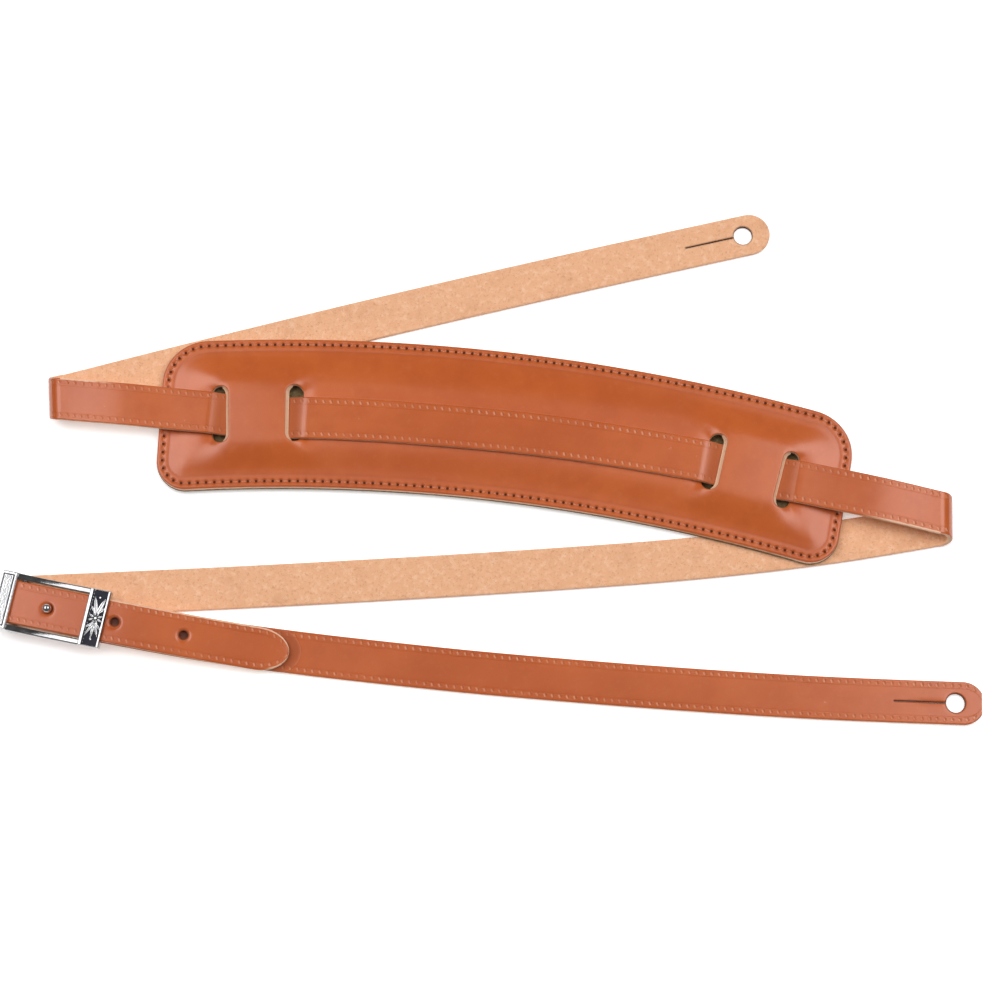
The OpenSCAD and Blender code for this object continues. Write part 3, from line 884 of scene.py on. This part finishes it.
def short_painted_shade(xy):
    """Painted shade on the leather under the tail's holes, and a soft painted shadow round its tip.
    """
    flat = short_line.at(xy[:, 0], xy[:, 1], 0)[:, :2]
    top = xy[:, 0] > SHORT_TOP_FROM
    from_holes = [np.linalg.norm(flat - long_line.place(s)[:2], axis=1) for s in tail_s]
    shade_under_holes = np.max([fade(d, 2.0, 0.8) for d in from_holes], axis=0)
    tip = long_line.place(marks["tip"] - 7.0)[:2]
    away = np.linalg.norm((flat - tip - [1.5, 0]) / [1.15, 1], axis=1)
    tip_shadow = 0.34 * fade(away, 6.6, 2.8) * (flat[:, 0] > tip[0] - 4)
    return np.where(top, np.maximum(0.92 * shade_under_holes, tip_shadow), 0), 0


def long_piece(name, start_mark, end_mark, **how):
    return strap_piece(name, long_line, marks[start_mark], marks[end_mark], leather, **how)


end_hole_s = long_line.nearest(*END_HOLE)
marks["end"] = max(end_hole_s - HOLE_TO_END, 0.0)
end_piece = long_piece("strap_end_strand", "end", "left_top", start=END_ROUND,
                       holes=[Hole(end_hole_s, BUTTON_R, SLIT_LEN)],
                       fine=[(marks["left_low"] - 2, marks["left_top"], FOLD_STEP)])
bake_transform(end_piece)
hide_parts("long_strap_end", "long_strap_left_fold")

left_piece = long_piece("strap_left_span", "left_top", "slot_left", wear=left_wear)
a, b = (tuple(long_line.place(s) * MM) for s in (marks["left_top"] + 3, marks["slot_left"] - 1))
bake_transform(left_piece)
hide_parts("long_strap_left_span")

weave_piece = long_piece("strap_weave", "slot_left", "slot_right", wear=slot_painted_shade,
                         fine=[(marks["slot_left"], marks["slot_left"] + WEAVE_LEN, FINE_STEP),
                               (marks["slot_right"] - WEAVE_LEN, marks["slot_right"], FINE_STEP)])
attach(weave_piece, "pad")
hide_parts("long_strap_weave")

right_piece = long_piece("strap_right_span", "slot_right", "right_top", wear=right_wear)
a, b = (tuple(long_line.place(s) * MM) for s in (marks["right_top"] - 3, marks["slot_right"] + 1))
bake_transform(right_piece)
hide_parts("long_strap_right_span")

return_piece = long_piece("strap_return_strand", "right_top", "buckle_low",
                          fine=[(marks["right_top"], marks["right_low"] + 2, FOLD_STEP)])
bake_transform(return_piece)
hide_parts("long_strap_return", "long_strap_right_fold")

turn_piece = long_piece("strap_buckle_turn", "buckle_low", "buckle_top", step=FOLD_STEP)
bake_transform(turn_piece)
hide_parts("long_strap_buckle_fold")

tail_s = [long_line.nearest(*buckle_xy(STUD_X + k * HOLE_PITCH), after=marks["buckle_top"])
          for k in range(TAIL_HOLES)]
tail_piece = long_piece("strap_tail", "buckle_top", "tip", end=TIP_ROUND,
                        holes=[Hole(s, TAIL_HOLE_R) for s in tail_s],
                        dimples=[(s, DIMPLE_OFF, TAIL_HOLE_R, DIMPLE_DEPTH) for s in tail_s],
                        fine=[(s - 5, s + 5, FINE_STEP) for s in tail_s], wear=tail_wear)
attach(tail_piece, "buckle")
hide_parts("long_strap_tail")

under_holes = [short_line.nearest(*long_line.place(s)[:2], after=SHORT_TOP_FROM) for s in tail_s]
short_piece = strap_piece("strap_short", short_line, 0.0, short_hole_s + HOLE_TO_END, leather,
                          end=END_ROUND, holes=[Hole(short_hole_s, BUTTON_R, -SLIT_LEN)],
                          fine=[(12.0, 34.0, FOLD_STEP), (72.0, 108.0, FINE_STEP)]
                          + [(s - 3.5, s + 3.5, FINE_STEP) for s in under_holes], wear=short_painted_shade)
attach(short_piece, "buckle")
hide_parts("short_strap")

# ---- shoulder pad


def pad_outline(inset):
    """Closed ring in u and v at a distance inside the pad's edge, always of as many points."""
    def arc(centre, r, a0, a1, n):
        return centre + (r - inset) * on_circle(np.radians(np.linspace(a0, a1, n)))

    low, high = (PAD_HALF, LOW_R - PAD_W / 2), (HIGH_HALF, PAD_W / 2 - HIGH_R)
    corner = arc(low, LOW_R, -90, LEAN, 22)
    crown = arc(high, HIGH_R, LEAN, 90, 26)
    k = (np.arange(1, 24) / 24)[:, None]
    flank = corner[-1] + (crown[0] - corner[-1]) * k
    right = np.vstack([corner, flank, crown])
    n = 170
    across = np.full(n - 2, PAD_W / 2 - inset)
    lower = np.column_stack([np.linspace(-PAD_HALF, PAD_HALF, n)[1:-1], -across])
    upper = np.column_stack([np.linspace(HIGH_HALF, -HIGH_HALF, n)[1:-1], across])
    left = right[::-1] * [-1, 1]
    return np.vstack([lower, right, upper, left])


def loop_inset(xy, ring):
    """Signed distance inside a closed ring."""
    a, b = ring, np.roll(ring, -1, axis=0)
    best = np.full(len(xy), 1e9)
    inside = np.zeros(len(xy), bool)
    for p, q in zip(a, b):
        best = np.minimum(best, from_segment(xy, p, q))
        crosses = (p[1] > xy[:, 1]) != (q[1] > xy[:, 1])
        if p[1] != q[1]:
            at = (q[0] - p[0]) * (xy[:, 1] - p[1]) / (q[1] - p[1]) + p[0]
            inside ^= crosses & (xy[:, 0] < at)
    return np.where(inside, best, -best)


BORDER = pad_outline(0.0)
seam_world = pad_xy(pad_outline(SEAM_INSET))
seam_step = np.linalg.norm(np.roll(seam_world, -1, axis=0) - seam_world, axis=1)
seam_len = seam_step.sum()
seam_at = np.concatenate([[0], np.cumsum(seam_step)[:-1]]) / seam_len * STITCHES
slots = [(side * u, SLOT_V) for side in (-1, 1) for u in (INNER, OUTER)]
straight = (SLOT_LEN - SLOT_W) / 2


def grid_points(half_u, half_v, step, stagger=0.0):
    """A grid of places in u and v, with every other row moved along by stagger."""
    u, v = np.meshgrid(np.arange(-half_u, half_u + 0.1, step), np.arange(-half_v, half_v + 0.1, step))
    return np.column_stack([u.ravel() + stagger * (np.round(v.ravel() / step) % 2), v.ravel()])


def slot_distance(uv):
    return np.min([from_segment(uv, (u, v - straight), (u, v + straight)) - SLOT_W / 2
                   for u, v in slots], axis=0)


def face_height(uv, inset, lip):
    """Top of the face leather: flat sewn rim, soft step up over the foam, and a low crown."""
    z = RIM_TOP + FACE_STEP + CROWN_RISE * smooth((inset - CROWN_FROM) / CROWN_REACH)
    z -= 0.10 * bump_shape(inset - RIM_CREASE, 0.45)
    z -= 0.20 * bump_shape(inset - SEAM_INSET, 0.55)
    z -= round_over(inset, 0.7) + round_over(lip, 0.35)
    for side in (-1, 1):
        u, v = np.abs(uv[:, 0] - side * PAIR_U), np.abs(uv[:, 1] - SLOT_V)
        widen = 6 + 1.6 * np.maximum(v - 8, 0)
        z += BRIDGE_RISE * fade(u, BRIDGE_HALF, widen) * fade(v, 8, BRIDGE_FALL)
        past = u - (PAIR_HALF + SLOT_W / 2)
        z -= PRESS * fade(past, 0, 5) * smooth((past + 3) / 3) * fade(v, 8.2, 6)
    z -= DROOP * smooth((np.abs(uv[:, 0]) - DROOP_FROM) / DROOP_REACH) * smooth((inset - 8) / 9)
    z += WAVE * np.sin(uv[:, 0] / 17 + 1.3) * np.sin(uv[:, 1] / 11 + 0.4) * smooth((inset - 8) / 8)
    return z


def lip_slant(uv, lip):
    """How far the underside of the leather reaches into a slot, on the side of the bridge."""
    shift = np.zeros(len(uv))
    for side in (-1, 1):
        u = uv[:, 0] - side * PAIR_U
        beside = np.abs(uv[:, 1] - SLOT_V) < SLOT_LEN / 2 + 1
        bridge = smooth((PAIR_HALF - 0.6 - np.abs(u)) / 1.6) * beside
        shift += np.sign(u) * bridge * fade(lip, 0, 1.4) * (np.abs(u) < PAIR_HALF)
    return shift


RIM_INSETS = (0.0, 0.12, 0.35, 0.8, 1.35, 1.75, 2.2, 2.65, 3.1, 3.8, 4.3, 4.7, 5.2, 5.8, 6.5, 7.4)
RIM_REACH = 8


def make_face():
    plan = Plan()
    seam_of, inset_of = [], []
    for inset in RIM_INSETS:
        plan.add(pad_outline(inset), border=inset == 0)
        seam_of.append(seam_at)
        inset_of.append(np.full(len(seam_at), inset))
    for u, v in slots:
        for away in (0.0, 0.1, 0.3, 0.7, 1.3, 2.1):
            ring = stadium((u, v - straight), (u, v + straight), SLOT_W / 2 + away, 14)
            plan.add(ring, border=away == 0)
    grid = grid_points(134, 29, 1.8, 0.9)
    plan.add(grid[(loop_inset(grid, BORDER) > 8.3) & (slot_distance(grid) > 2.9)])
    inside = plan.count - sum(len(ring) for ring in seam_of)
    seam_of = np.concatenate(seam_of + [np.zeros(inside)])
    inset_of = np.concatenate(inset_of + [np.full(inside, 2.0 * RIM_REACH)])

    uv, tris, behind = triangles(plan, lambda c: (loop_inset(c, BORDER) > 0) & (slot_distance(c) > 0))
    inset, seam = inset_of[behind], seam_of[behind]
    far_in = inset > RIM_REACH
    inset[far_in] = np.maximum(loop_inset(uv[far_in], BORDER), RIM_REACH)
    lip = np.maximum(slot_distance(uv), 0)
    lip[lip < 0.02] = 0
    top_z = face_height(uv, inset, lip)
    slant = lip_slant(uv, lip)
    bottom_z = np.maximum(RIM_Z, top_z - FACE_T) + 0.5 * np.abs(slant)
    under = pad_xy(uv + np.column_stack([1.15 * slant, np.zeros(len(uv))]))
    side = np.where((inset < 0.05) | (lip < 0.05), CUT_SIDE, 1.0)
    seam_uv = np.column_stack([seam, inset])
    maps = {"seam": (seam_uv, seam_uv),
            "side": (np.column_stack([side, lip]), np.column_stack([-side, lip]))}
    piece = slab_object("pad_face_leather", raised(pad_xy(uv), top_z), raised(under, bottom_z),
                        tris, maps, face_leather)
    # close the seam's count where it wraps round
    layer = piece.data.uv_layers["seam"].data
    for poly in piece.data.polygons:
        ids = list(poly.loop_indices)
        counts = [layer[i].uv[0] for i in ids]
        if max(counts) - min(counts) > STITCHES / 2 and all(layer[i].uv[1] < RIM_REACH for i in ids):
            for i, n in zip(ids, counts):
                if n < STITCHES / 2:
                    layer[i].uv = (n + STITCHES, layer[i].uv[1])
    return piece


face_piece = make_face()
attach(face_piece, "pad")
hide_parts("pad_face")


def make_backing():
    """Suede backing, a little proud of the face's edge."""
    edge = pad_outline(-BACK_PROUD)
    plan = Plan()
    plan.add(edge, border=True)
    for inset in (-0.15, 0.2, 0.8, 2.2, 4.5):
        plan.add(pad_outline(inset))
    grid = grid_points(134, 29, 3.2)
    plan.add(grid[loop_inset(grid, BORDER) > 6.5])
    uv, tris, _ = triangles(plan, lambda c: loop_inset(c, edge) > 0)
    inset = loop_inset(uv, edge)
    fall = round_over(inset, 0.45)
    sewn = 0.25 * bump_shape(inset - BACK_PROUD - SEAM_INSET, 0.6)
    world = pad_xy(uv)
    return slab_object("pad_backing_suede", raised(world, RIM_Z - 0.02 - fall),
                       raised(world, BACK_Z + fall + sewn), tris, {}, suede_mat)


backing_piece = make_backing()
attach(backing_piece, "pad")
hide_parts("pad_backing")

window_u, window_v = PAIR_REACH + 1, SLOT_LEN / 2 + 1.6
core = pad_outline(7.2)


def in_core(uv, clear=0.0, deep=0.0):
    """Whether places are in the foam, this far from its windows and this deep inside its edge."""
    ok = loop_inset(uv, core) > deep
    for u in (-PAIR_U, PAIR_U):
        past_u, past_v = np.abs(uv[:, 0] - u) - window_u, np.abs(uv[:, 1] - SLOT_V) - window_v
        ok &= np.maximum(past_u, past_v) > clear
    return ok


def make_foam():
    """Foam core, open under each pair of slots."""
    plan = Plan()
    plan.add(core, border=True)
    plan.add(pad_outline(7.6))
    plan.add(pad_outline(8.4))
    for u in (-PAIR_U, PAIR_U):
        box = np.array([[-1, -1], [1, -1], [1, 1], [-1, 1]]) * [window_u, window_v] + [u, SLOT_V]
        k = (np.arange(8) / 8)[:, None]
        sides = [p + (q - p) * k for p, q in zip(box, np.roll(box, -1, axis=0))]
        plan.add(np.vstack(sides), border=True)
    grid = grid_points(130, 27, 3.0)
    plan.add(grid[in_core(grid, 1.0, 2.2)])
    uv, tris, _ = triangles(plan, in_core)
    under_face = face_height(uv, loop_inset(uv, BORDER), np.full(len(uv), 30.0)) - FACE_T - 0.15
    world = pad_xy(uv)
    return slab_object("pad_foam", raised(world, under_face), raised(world, RIM_Z + 0.03),
                       tris, {}, foam_mat)


foam_piece = make_foam()
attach(foam_piece, "pad")
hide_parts("pad_padding")


def seam_place(count_at):
    """Place and heading on the seam line, in the lay, at a stitch count."""
    t = count_at % STITCHES
    xs = np.append(seam_at, STITCHES)
    ring = np.vstack([seam_world, seam_world[:1]])
    here = np.array([np.interp(t, xs, ring[:, k]) for k in range(2)])
    there = np.array([np.interp((t + 0.05) % STITCHES, xs, ring[:, k]) for k in range(2)])
    d = there - here
    return here, math.atan2(d[1], d[0])


def skin(bm, rows):
    """Faces between rings of the same count, and over both ends."""
    for near, far in zip(rows, rows[1:]):
        for j in range(len(near)):
            q = (j + 1) % len(near)
            bm.faces.new((near[j], far[j], far[q], near[q]))
    bm.faces.new(rows[0])
    bm.faces.new(rows[-1][::-1])


def solid_object(name, bm, material):
    bmesh.ops.recalc_face_normals(bm, faces=bm.faces)
    mesh = bpy.data.meshes.new(name)
    bm.to_mesh(mesh)
    bm.free()
    mesh.shade_smooth()
    return add_object(name, mesh, material)


RINGS_PER_STITCH = 7
SIDES = 8
STITCH_END = 0.52
THREAD_THIN = 0.10
THREAD_SWELL = 0.17
STITCH_LIFT = 0.20
STITCH_DIVE = 0.25
STITCH_TURN = 0.035


def make_stitches():
    """Thread between neighbouring needle holes, each stitch swollen and diving at both ends."""
    bm = bmesh.new()
    z0 = RIM_TOP - 0.22
    for k in range(STITCHES):
        here, turn = seam_place(k + 0.5)
        turn += rng.normal(0, STITCH_TURN)
        half = seam_len / STITCHES / 2 - STITCH_END
        c, s = math.cos(turn), math.sin(turn)
        rows = []
        for t in np.linspace(-1, 1, RINGS_PER_STITCH):
            r = THREAD_THIN + THREAD_SWELL * math.sqrt(max(0.0, 1 - t * t))
            lift = STITCH_LIFT * (1 - t * t) - STITCH_DIVE * abs(t) ** 5
            row = []
            for j in range(SIDES):
                a = 2 * math.pi * j / SIDES
                x, y, z = t * half, r * 1.15 * math.cos(a), r * math.sin(a) + lift
                xy = (here[0] + x * c - y * s, here[1] + x * s + y * c)
                row.append(bm.verts.new(spot(xy, z0 + z)))
            rows.append(row)
        skin(bm, rows)
    return solid_object("pad_seam", bm, thread_mat)


seam_piece = make_stitches()
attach(seam_piece, "pad")
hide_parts("pad_seam_thread")

# ---- buckle


def in_buckle(x, y, z):
    return np.array([*buckle_xy(x, y), z])


def relief_plate(name, x0, x1, height, material, step, uneven, lean=0.0):
    """A plate across the buckle whose top is a height field from 0 to 1, in the buckle's frame."""
    xs = np.linspace(x0, x1, int((x1 - x0) / step) + 1)
    ys = np.linspace(-BUCKLE_W / 2, BUCKLE_W / 2, int(BUCKLE_W / step) + 1)
    gx, gy = np.meshgrid(xs, ys, indexing="ij")
    h = height((gx - (x0 + x1) / 2).ravel(), gy.ravel())
    d = np.min([gx - x0, x1 - gx, gy + BUCKLE_W / 2, BUCKLE_W / 2 - gy], axis=0).ravel()
    top_z = PLATE_Z + PLATE_T - round_over(d, 0.35) - uneven * (1 - h) - lean * (x1 - gx.ravel())
    xy = buckle_xy(gx.reshape(-1, 1), gy.reshape(-1, 1))
    n_y = len(ys)
    i, j = np.meshgrid(np.arange(len(xs) - 1), np.arange(n_y - 1), indexing="ij")
    a = (i * n_y + j).ravel()
    tris = np.vstack([np.column_stack([a, a + n_y, a + n_y + 1]),
                      np.column_stack([a, a + n_y + 1, a + 1])])
    relief = np.column_stack([h, d])
    plain = np.column_stack([np.ones(len(h)), d])
    return slab_object(name, raised(xy, top_z), raised(xy, PLATE_Z), tris,
                       {"relief": (relief, plain)}, material, sharp=50)


def end_plate_height(x, y):
    """Flat rim, a fine groove inside it, and a hammered panel."""
    d = np.minimum(END_PLATE_W / 2 - np.abs(x), BUCKLE_W / 2 - np.abs(y))
    hammered = np.sin(x * 9.1 + 2 * np.sin(y * 3.3)) * np.sin(y * 7.7 + 1.7 * np.sin(x * 4.1))
    panel = 0.8 + 0.2 * hammered * smooth((d - 1.6) / 0.3)
    return np.clip(np.where(d < 1.25, 1.0, panel) - fade(np.abs(d - 1.25), 0.06, 0.16), 0, 1)


def leaf(x, y, turn, away, root, length, width):
    """Height of a veined leaf that starts away from a point root above the sprig's middle."""
    angle = math.radians(turn)
    c, s = math.cos(angle), math.sin(angle)
    cx, cy = SPRIG_X + away * c, root
    u = (x - cx) * c + (y - cy) * s
    v = -(x - cx) * s + (y - cy) * c
    t = np.clip(u / length, 0, 1)
    half = width * np.sin(math.pi * t ** 0.8) ** 0.8 * ((u > 0) & (u < length))
    blade = fade(np.abs(v), half * 0.72, half * 0.25 + 0.05)
    vein = 0.3 * bump_shape(v, 0.09)
    return np.where(half > 0.02, blade, 0) - vein * (half > 0.1)


def keeper_height(x, y):
    """A bright bar on the left, thin rims, and a sprig of leaves standing on a sunken dark panel."""
    d_left, d_right = x + KEEPER_W / 2, KEEPER_W / 2 - x
    d_end = BUCKLE_W / 2 - np.abs(y)
    dashes = 0.6 + 0.4 * np.sign(np.sin(y * 5.2))
    shapes = [fade(np.abs(d_left - 0.75), 0.55, 0.16),
              0.6 * fade(np.abs(d_left - 1.85), 0.05, 0.14) * dashes,
              fade(np.abs(d_right - 0.55), 0.32, 0.12),
              0.8 * fade(np.abs(d_end - 0.2), 0.12, 0.12)]
    upper = ((106, 6.5, 0.80), (71, 6.3, 0.86), (134, 4.2, 0.55), (44, 4.2, 0.55))
    lower = ((-92, 6.5, 0.60), (-68, 5.8, 0.58), (-116, 5.9, 0.60), (-43, 4.2, 0.50),
             (-141, 4.2, 0.50))
    for leaves, root in ((upper, 1.7), (lower, -1.7)):
        shapes += [leaf(x, y, turn, 0.3, root, length, width) for turn, length, width in leaves]
    for k in range(8):
        turn = 22.5 + 45 * k
        shapes.append(leaf(x, y, turn, 0.7, 0.7 * math.sin(math.radians(turn)), 2.3, 0.46))
    shapes.append(fade(np.hypot(x - SPRIG_X, y), 0.45, 0.2))
    for dy in (-7.9, 7.7):
        shapes.append(0.8 * fade(np.hypot(x - SPRIG_X, y - dy), 0.32, 0.2))
    return np.clip(np.max(shapes, axis=0), 0, 1)


end_plate = relief_plate("buckle_end_cover", -BUCKLE_LEN / 2, -BUCKLE_LEN / 2 + END_PLATE_W,
                         end_plate_height, relief_chrome, step=0.12, uneven=0.10)
keeper = relief_plate("buckle_keeper_relief", BUCKLE_LEN / 2 - KEEPER_W, BUCKLE_LEN / 2,
                      keeper_height, relief_chrome, step=0.11, uneven=0.3, lean=0.10)
for obj, node in ((end_plate, "buckle_end_plate"), (keeper, "buckle_keeper")):
    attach(obj, "buckle")
    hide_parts(node)


def rail_height(x):
    """Top of a rail: level under the plates and dipping between them."""
    t = np.clip((x + 0.9) / 13.5, -1, 1)
    return PLATE_Z - RAIL_DIP * (1 - t * t)


def make_frame():
    """Both rails, each with the lug that carries the bar."""
    bm = bmesh.new()
    xs = np.linspace(-BUCKLE_LEN / 2, BUCKLE_LEN / 2, 70)
    a = np.linspace(0, math.pi, 17)
    for side in (-1, 1):
        y0 = side * (BUCKLE_W - RAIL_W) / 2
        rows = []
        for x in xs:
            top = rail_height(x)
            r = RAIL_W / 2
            prof = [(r * math.cos(t), top - RAIL_ROUND + RAIL_ROUND * math.sin(t) ** 0.55) for t in a]
            foot = RAIL_Z + RAIL_BEVEL
            prof += [(-r, foot), (-r + RAIL_BEVEL, RAIL_Z), (r - RAIL_BEVEL, RAIL_Z), (r, foot)]
            rows.append([bm.verts.new(in_buckle(x, y0 + y, z) * MM) for y, z in prof])
        skin(bm, rows)
        discs = []
        for y, r in ((-RAIL_W / 2, LUG_R - LUG_BEVEL), (-RAIL_W / 2 + LUG_BEVEL, LUG_R),
                     (RAIL_W / 2 - LUG_BEVEL, LUG_R), (RAIL_W / 2, LUG_R - LUG_BEVEL)):
            row = []
            for t in np.linspace(math.pi, 2 * math.pi, 28):
                place = in_buckle(BAR_X + r * math.cos(t), y0 + y, BAR_Z + r * math.sin(t))
                row.append(bm.verts.new(place * MM))
            for x in (BAR_X + r, BAR_X - r):
                row.append(bm.verts.new(in_buckle(x, y0 + y, RAIL_Z + 0.6) * MM))
            discs.append(row)
        skin(bm, discs)
    obj = solid_object("buckle_rails", bm, chrome)
    obj.data.set_sharp_from_angle(angle=math.radians(50))
    return obj


rails = make_frame()
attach(rails, "buckle")
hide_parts("buckle_frame")

for node, look in (("buckle_bar", chrome), ("stud_post", stud_chrome), ("stud_screw", stud_chrome)):
    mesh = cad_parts[node].data
    mesh.materials.clear()
    mesh.materials.append(look)

# ---- floor, light and camera


def plain_look(name, colour, rough, glow):
    m = Nodes(name)
    return m.finish(Base_Color=colour, Roughness=rough, Specular_IOR_Level=0.1,
                    Emission_Color=(1, 1, 1), Emission_Strength=glow)


FLOOR_HALF = 6.0
floor_mesh = bpy.data.meshes.new("floor")
corners = ((-1, -1), (1, -1), (1, 1), (-1, 1))
floor_mesh.from_pydata([(x * FLOOR_HALF, y * FLOOR_HALF, 0) for x, y in corners], [], [(0, 1, 2, 3)])
floor = add_object("floor", floor_mesh, plain_look("floor_mat", (0.93, 0.93, 0.935), 0.9, 0.35))
floor.location.z = -0.0002

LIGHT_Z = 1.0
LIGHT_DEEP = 1.0
SOFTBOX_X = 0.50
SOFTBOX_AIM_X = 0.25
SOFTBOX_Y = 0.16
SOFTBOX_WIDE = 0.62
SOFTBOX_POWER = 8.4
CARD_X = 0.71
CARD_Y = 0.2
CARD_WIDE = 0.7
CARD_POWER = 4.8
SKY = 0.10


def area_light(name, place, aim, wide, power):
    data = bpy.data.lights.new(name, "AREA")
    data.shape = "RECTANGLE"
    data.size, data.size_y, data.energy = wide, LIGHT_DEEP, power
    obj = bpy.data.objects.new(name, data)
    obj.location = place
    obj.rotation_mode = "QUATERNION"
    obj.rotation_quaternion = (Vector(aim) - Vector(place)).to_track_quat("-Z", "Y")
    scene.collection.objects.link(obj)
    return obj


# the softboxes light the leather evenly, and the cards give it its long reflections
for key, side in (("left", -1), ("right", 1)):
    softbox = area_light("softbox_" + key, (side * SOFTBOX_X, SOFTBOX_Y, LIGHT_Z),
                         (side * SOFTBOX_AIM_X, 0.0, 0.0), SOFTBOX_WIDE, SOFTBOX_POWER)
    softbox.visible_glossy = False
    card = area_light("card_" + key, (side * CARD_X, CARD_Y, LIGHT_Z), (side * CARD_X, CARD_Y, 0.0),
                      CARD_WIDE, CARD_POWER)
    card.visible_diffuse = False

world = bpy.data.worlds.new("studio")
scene.world = world
world.use_nodes = True
world.node_tree.nodes["Background"].inputs[0].default_value = (1, 1, 1, 1)
world.node_tree.nodes["Background"].inputs[1].default_value = SKY

scene.view_settings.view_transform = "Standard"

CAMERA_UP = math.radians(78)
CAMERA_AWAY = 0.870
CAMERA_AIM = Vector((0.001, -0.0103, 0.0))

camera_data = bpy.data.cameras.new("camera")
camera_data.lens = 85
camera_data.sensor_width = 36
camera = bpy.data.objects.new("camera", camera_data)
camera.location = CAMERA_AIM + CAMERA_AWAY * Vector((0, -math.cos(CAMERA_UP), math.sin(CAMERA_UP)))
camera.rotation_mode = "QUATERNION"
camera.rotation_quaternion = (CAMERA_AIM - camera.location).to_track_quat("-Z", "Y")
scene.collection.objects.link(camera)
scene.camera = camera
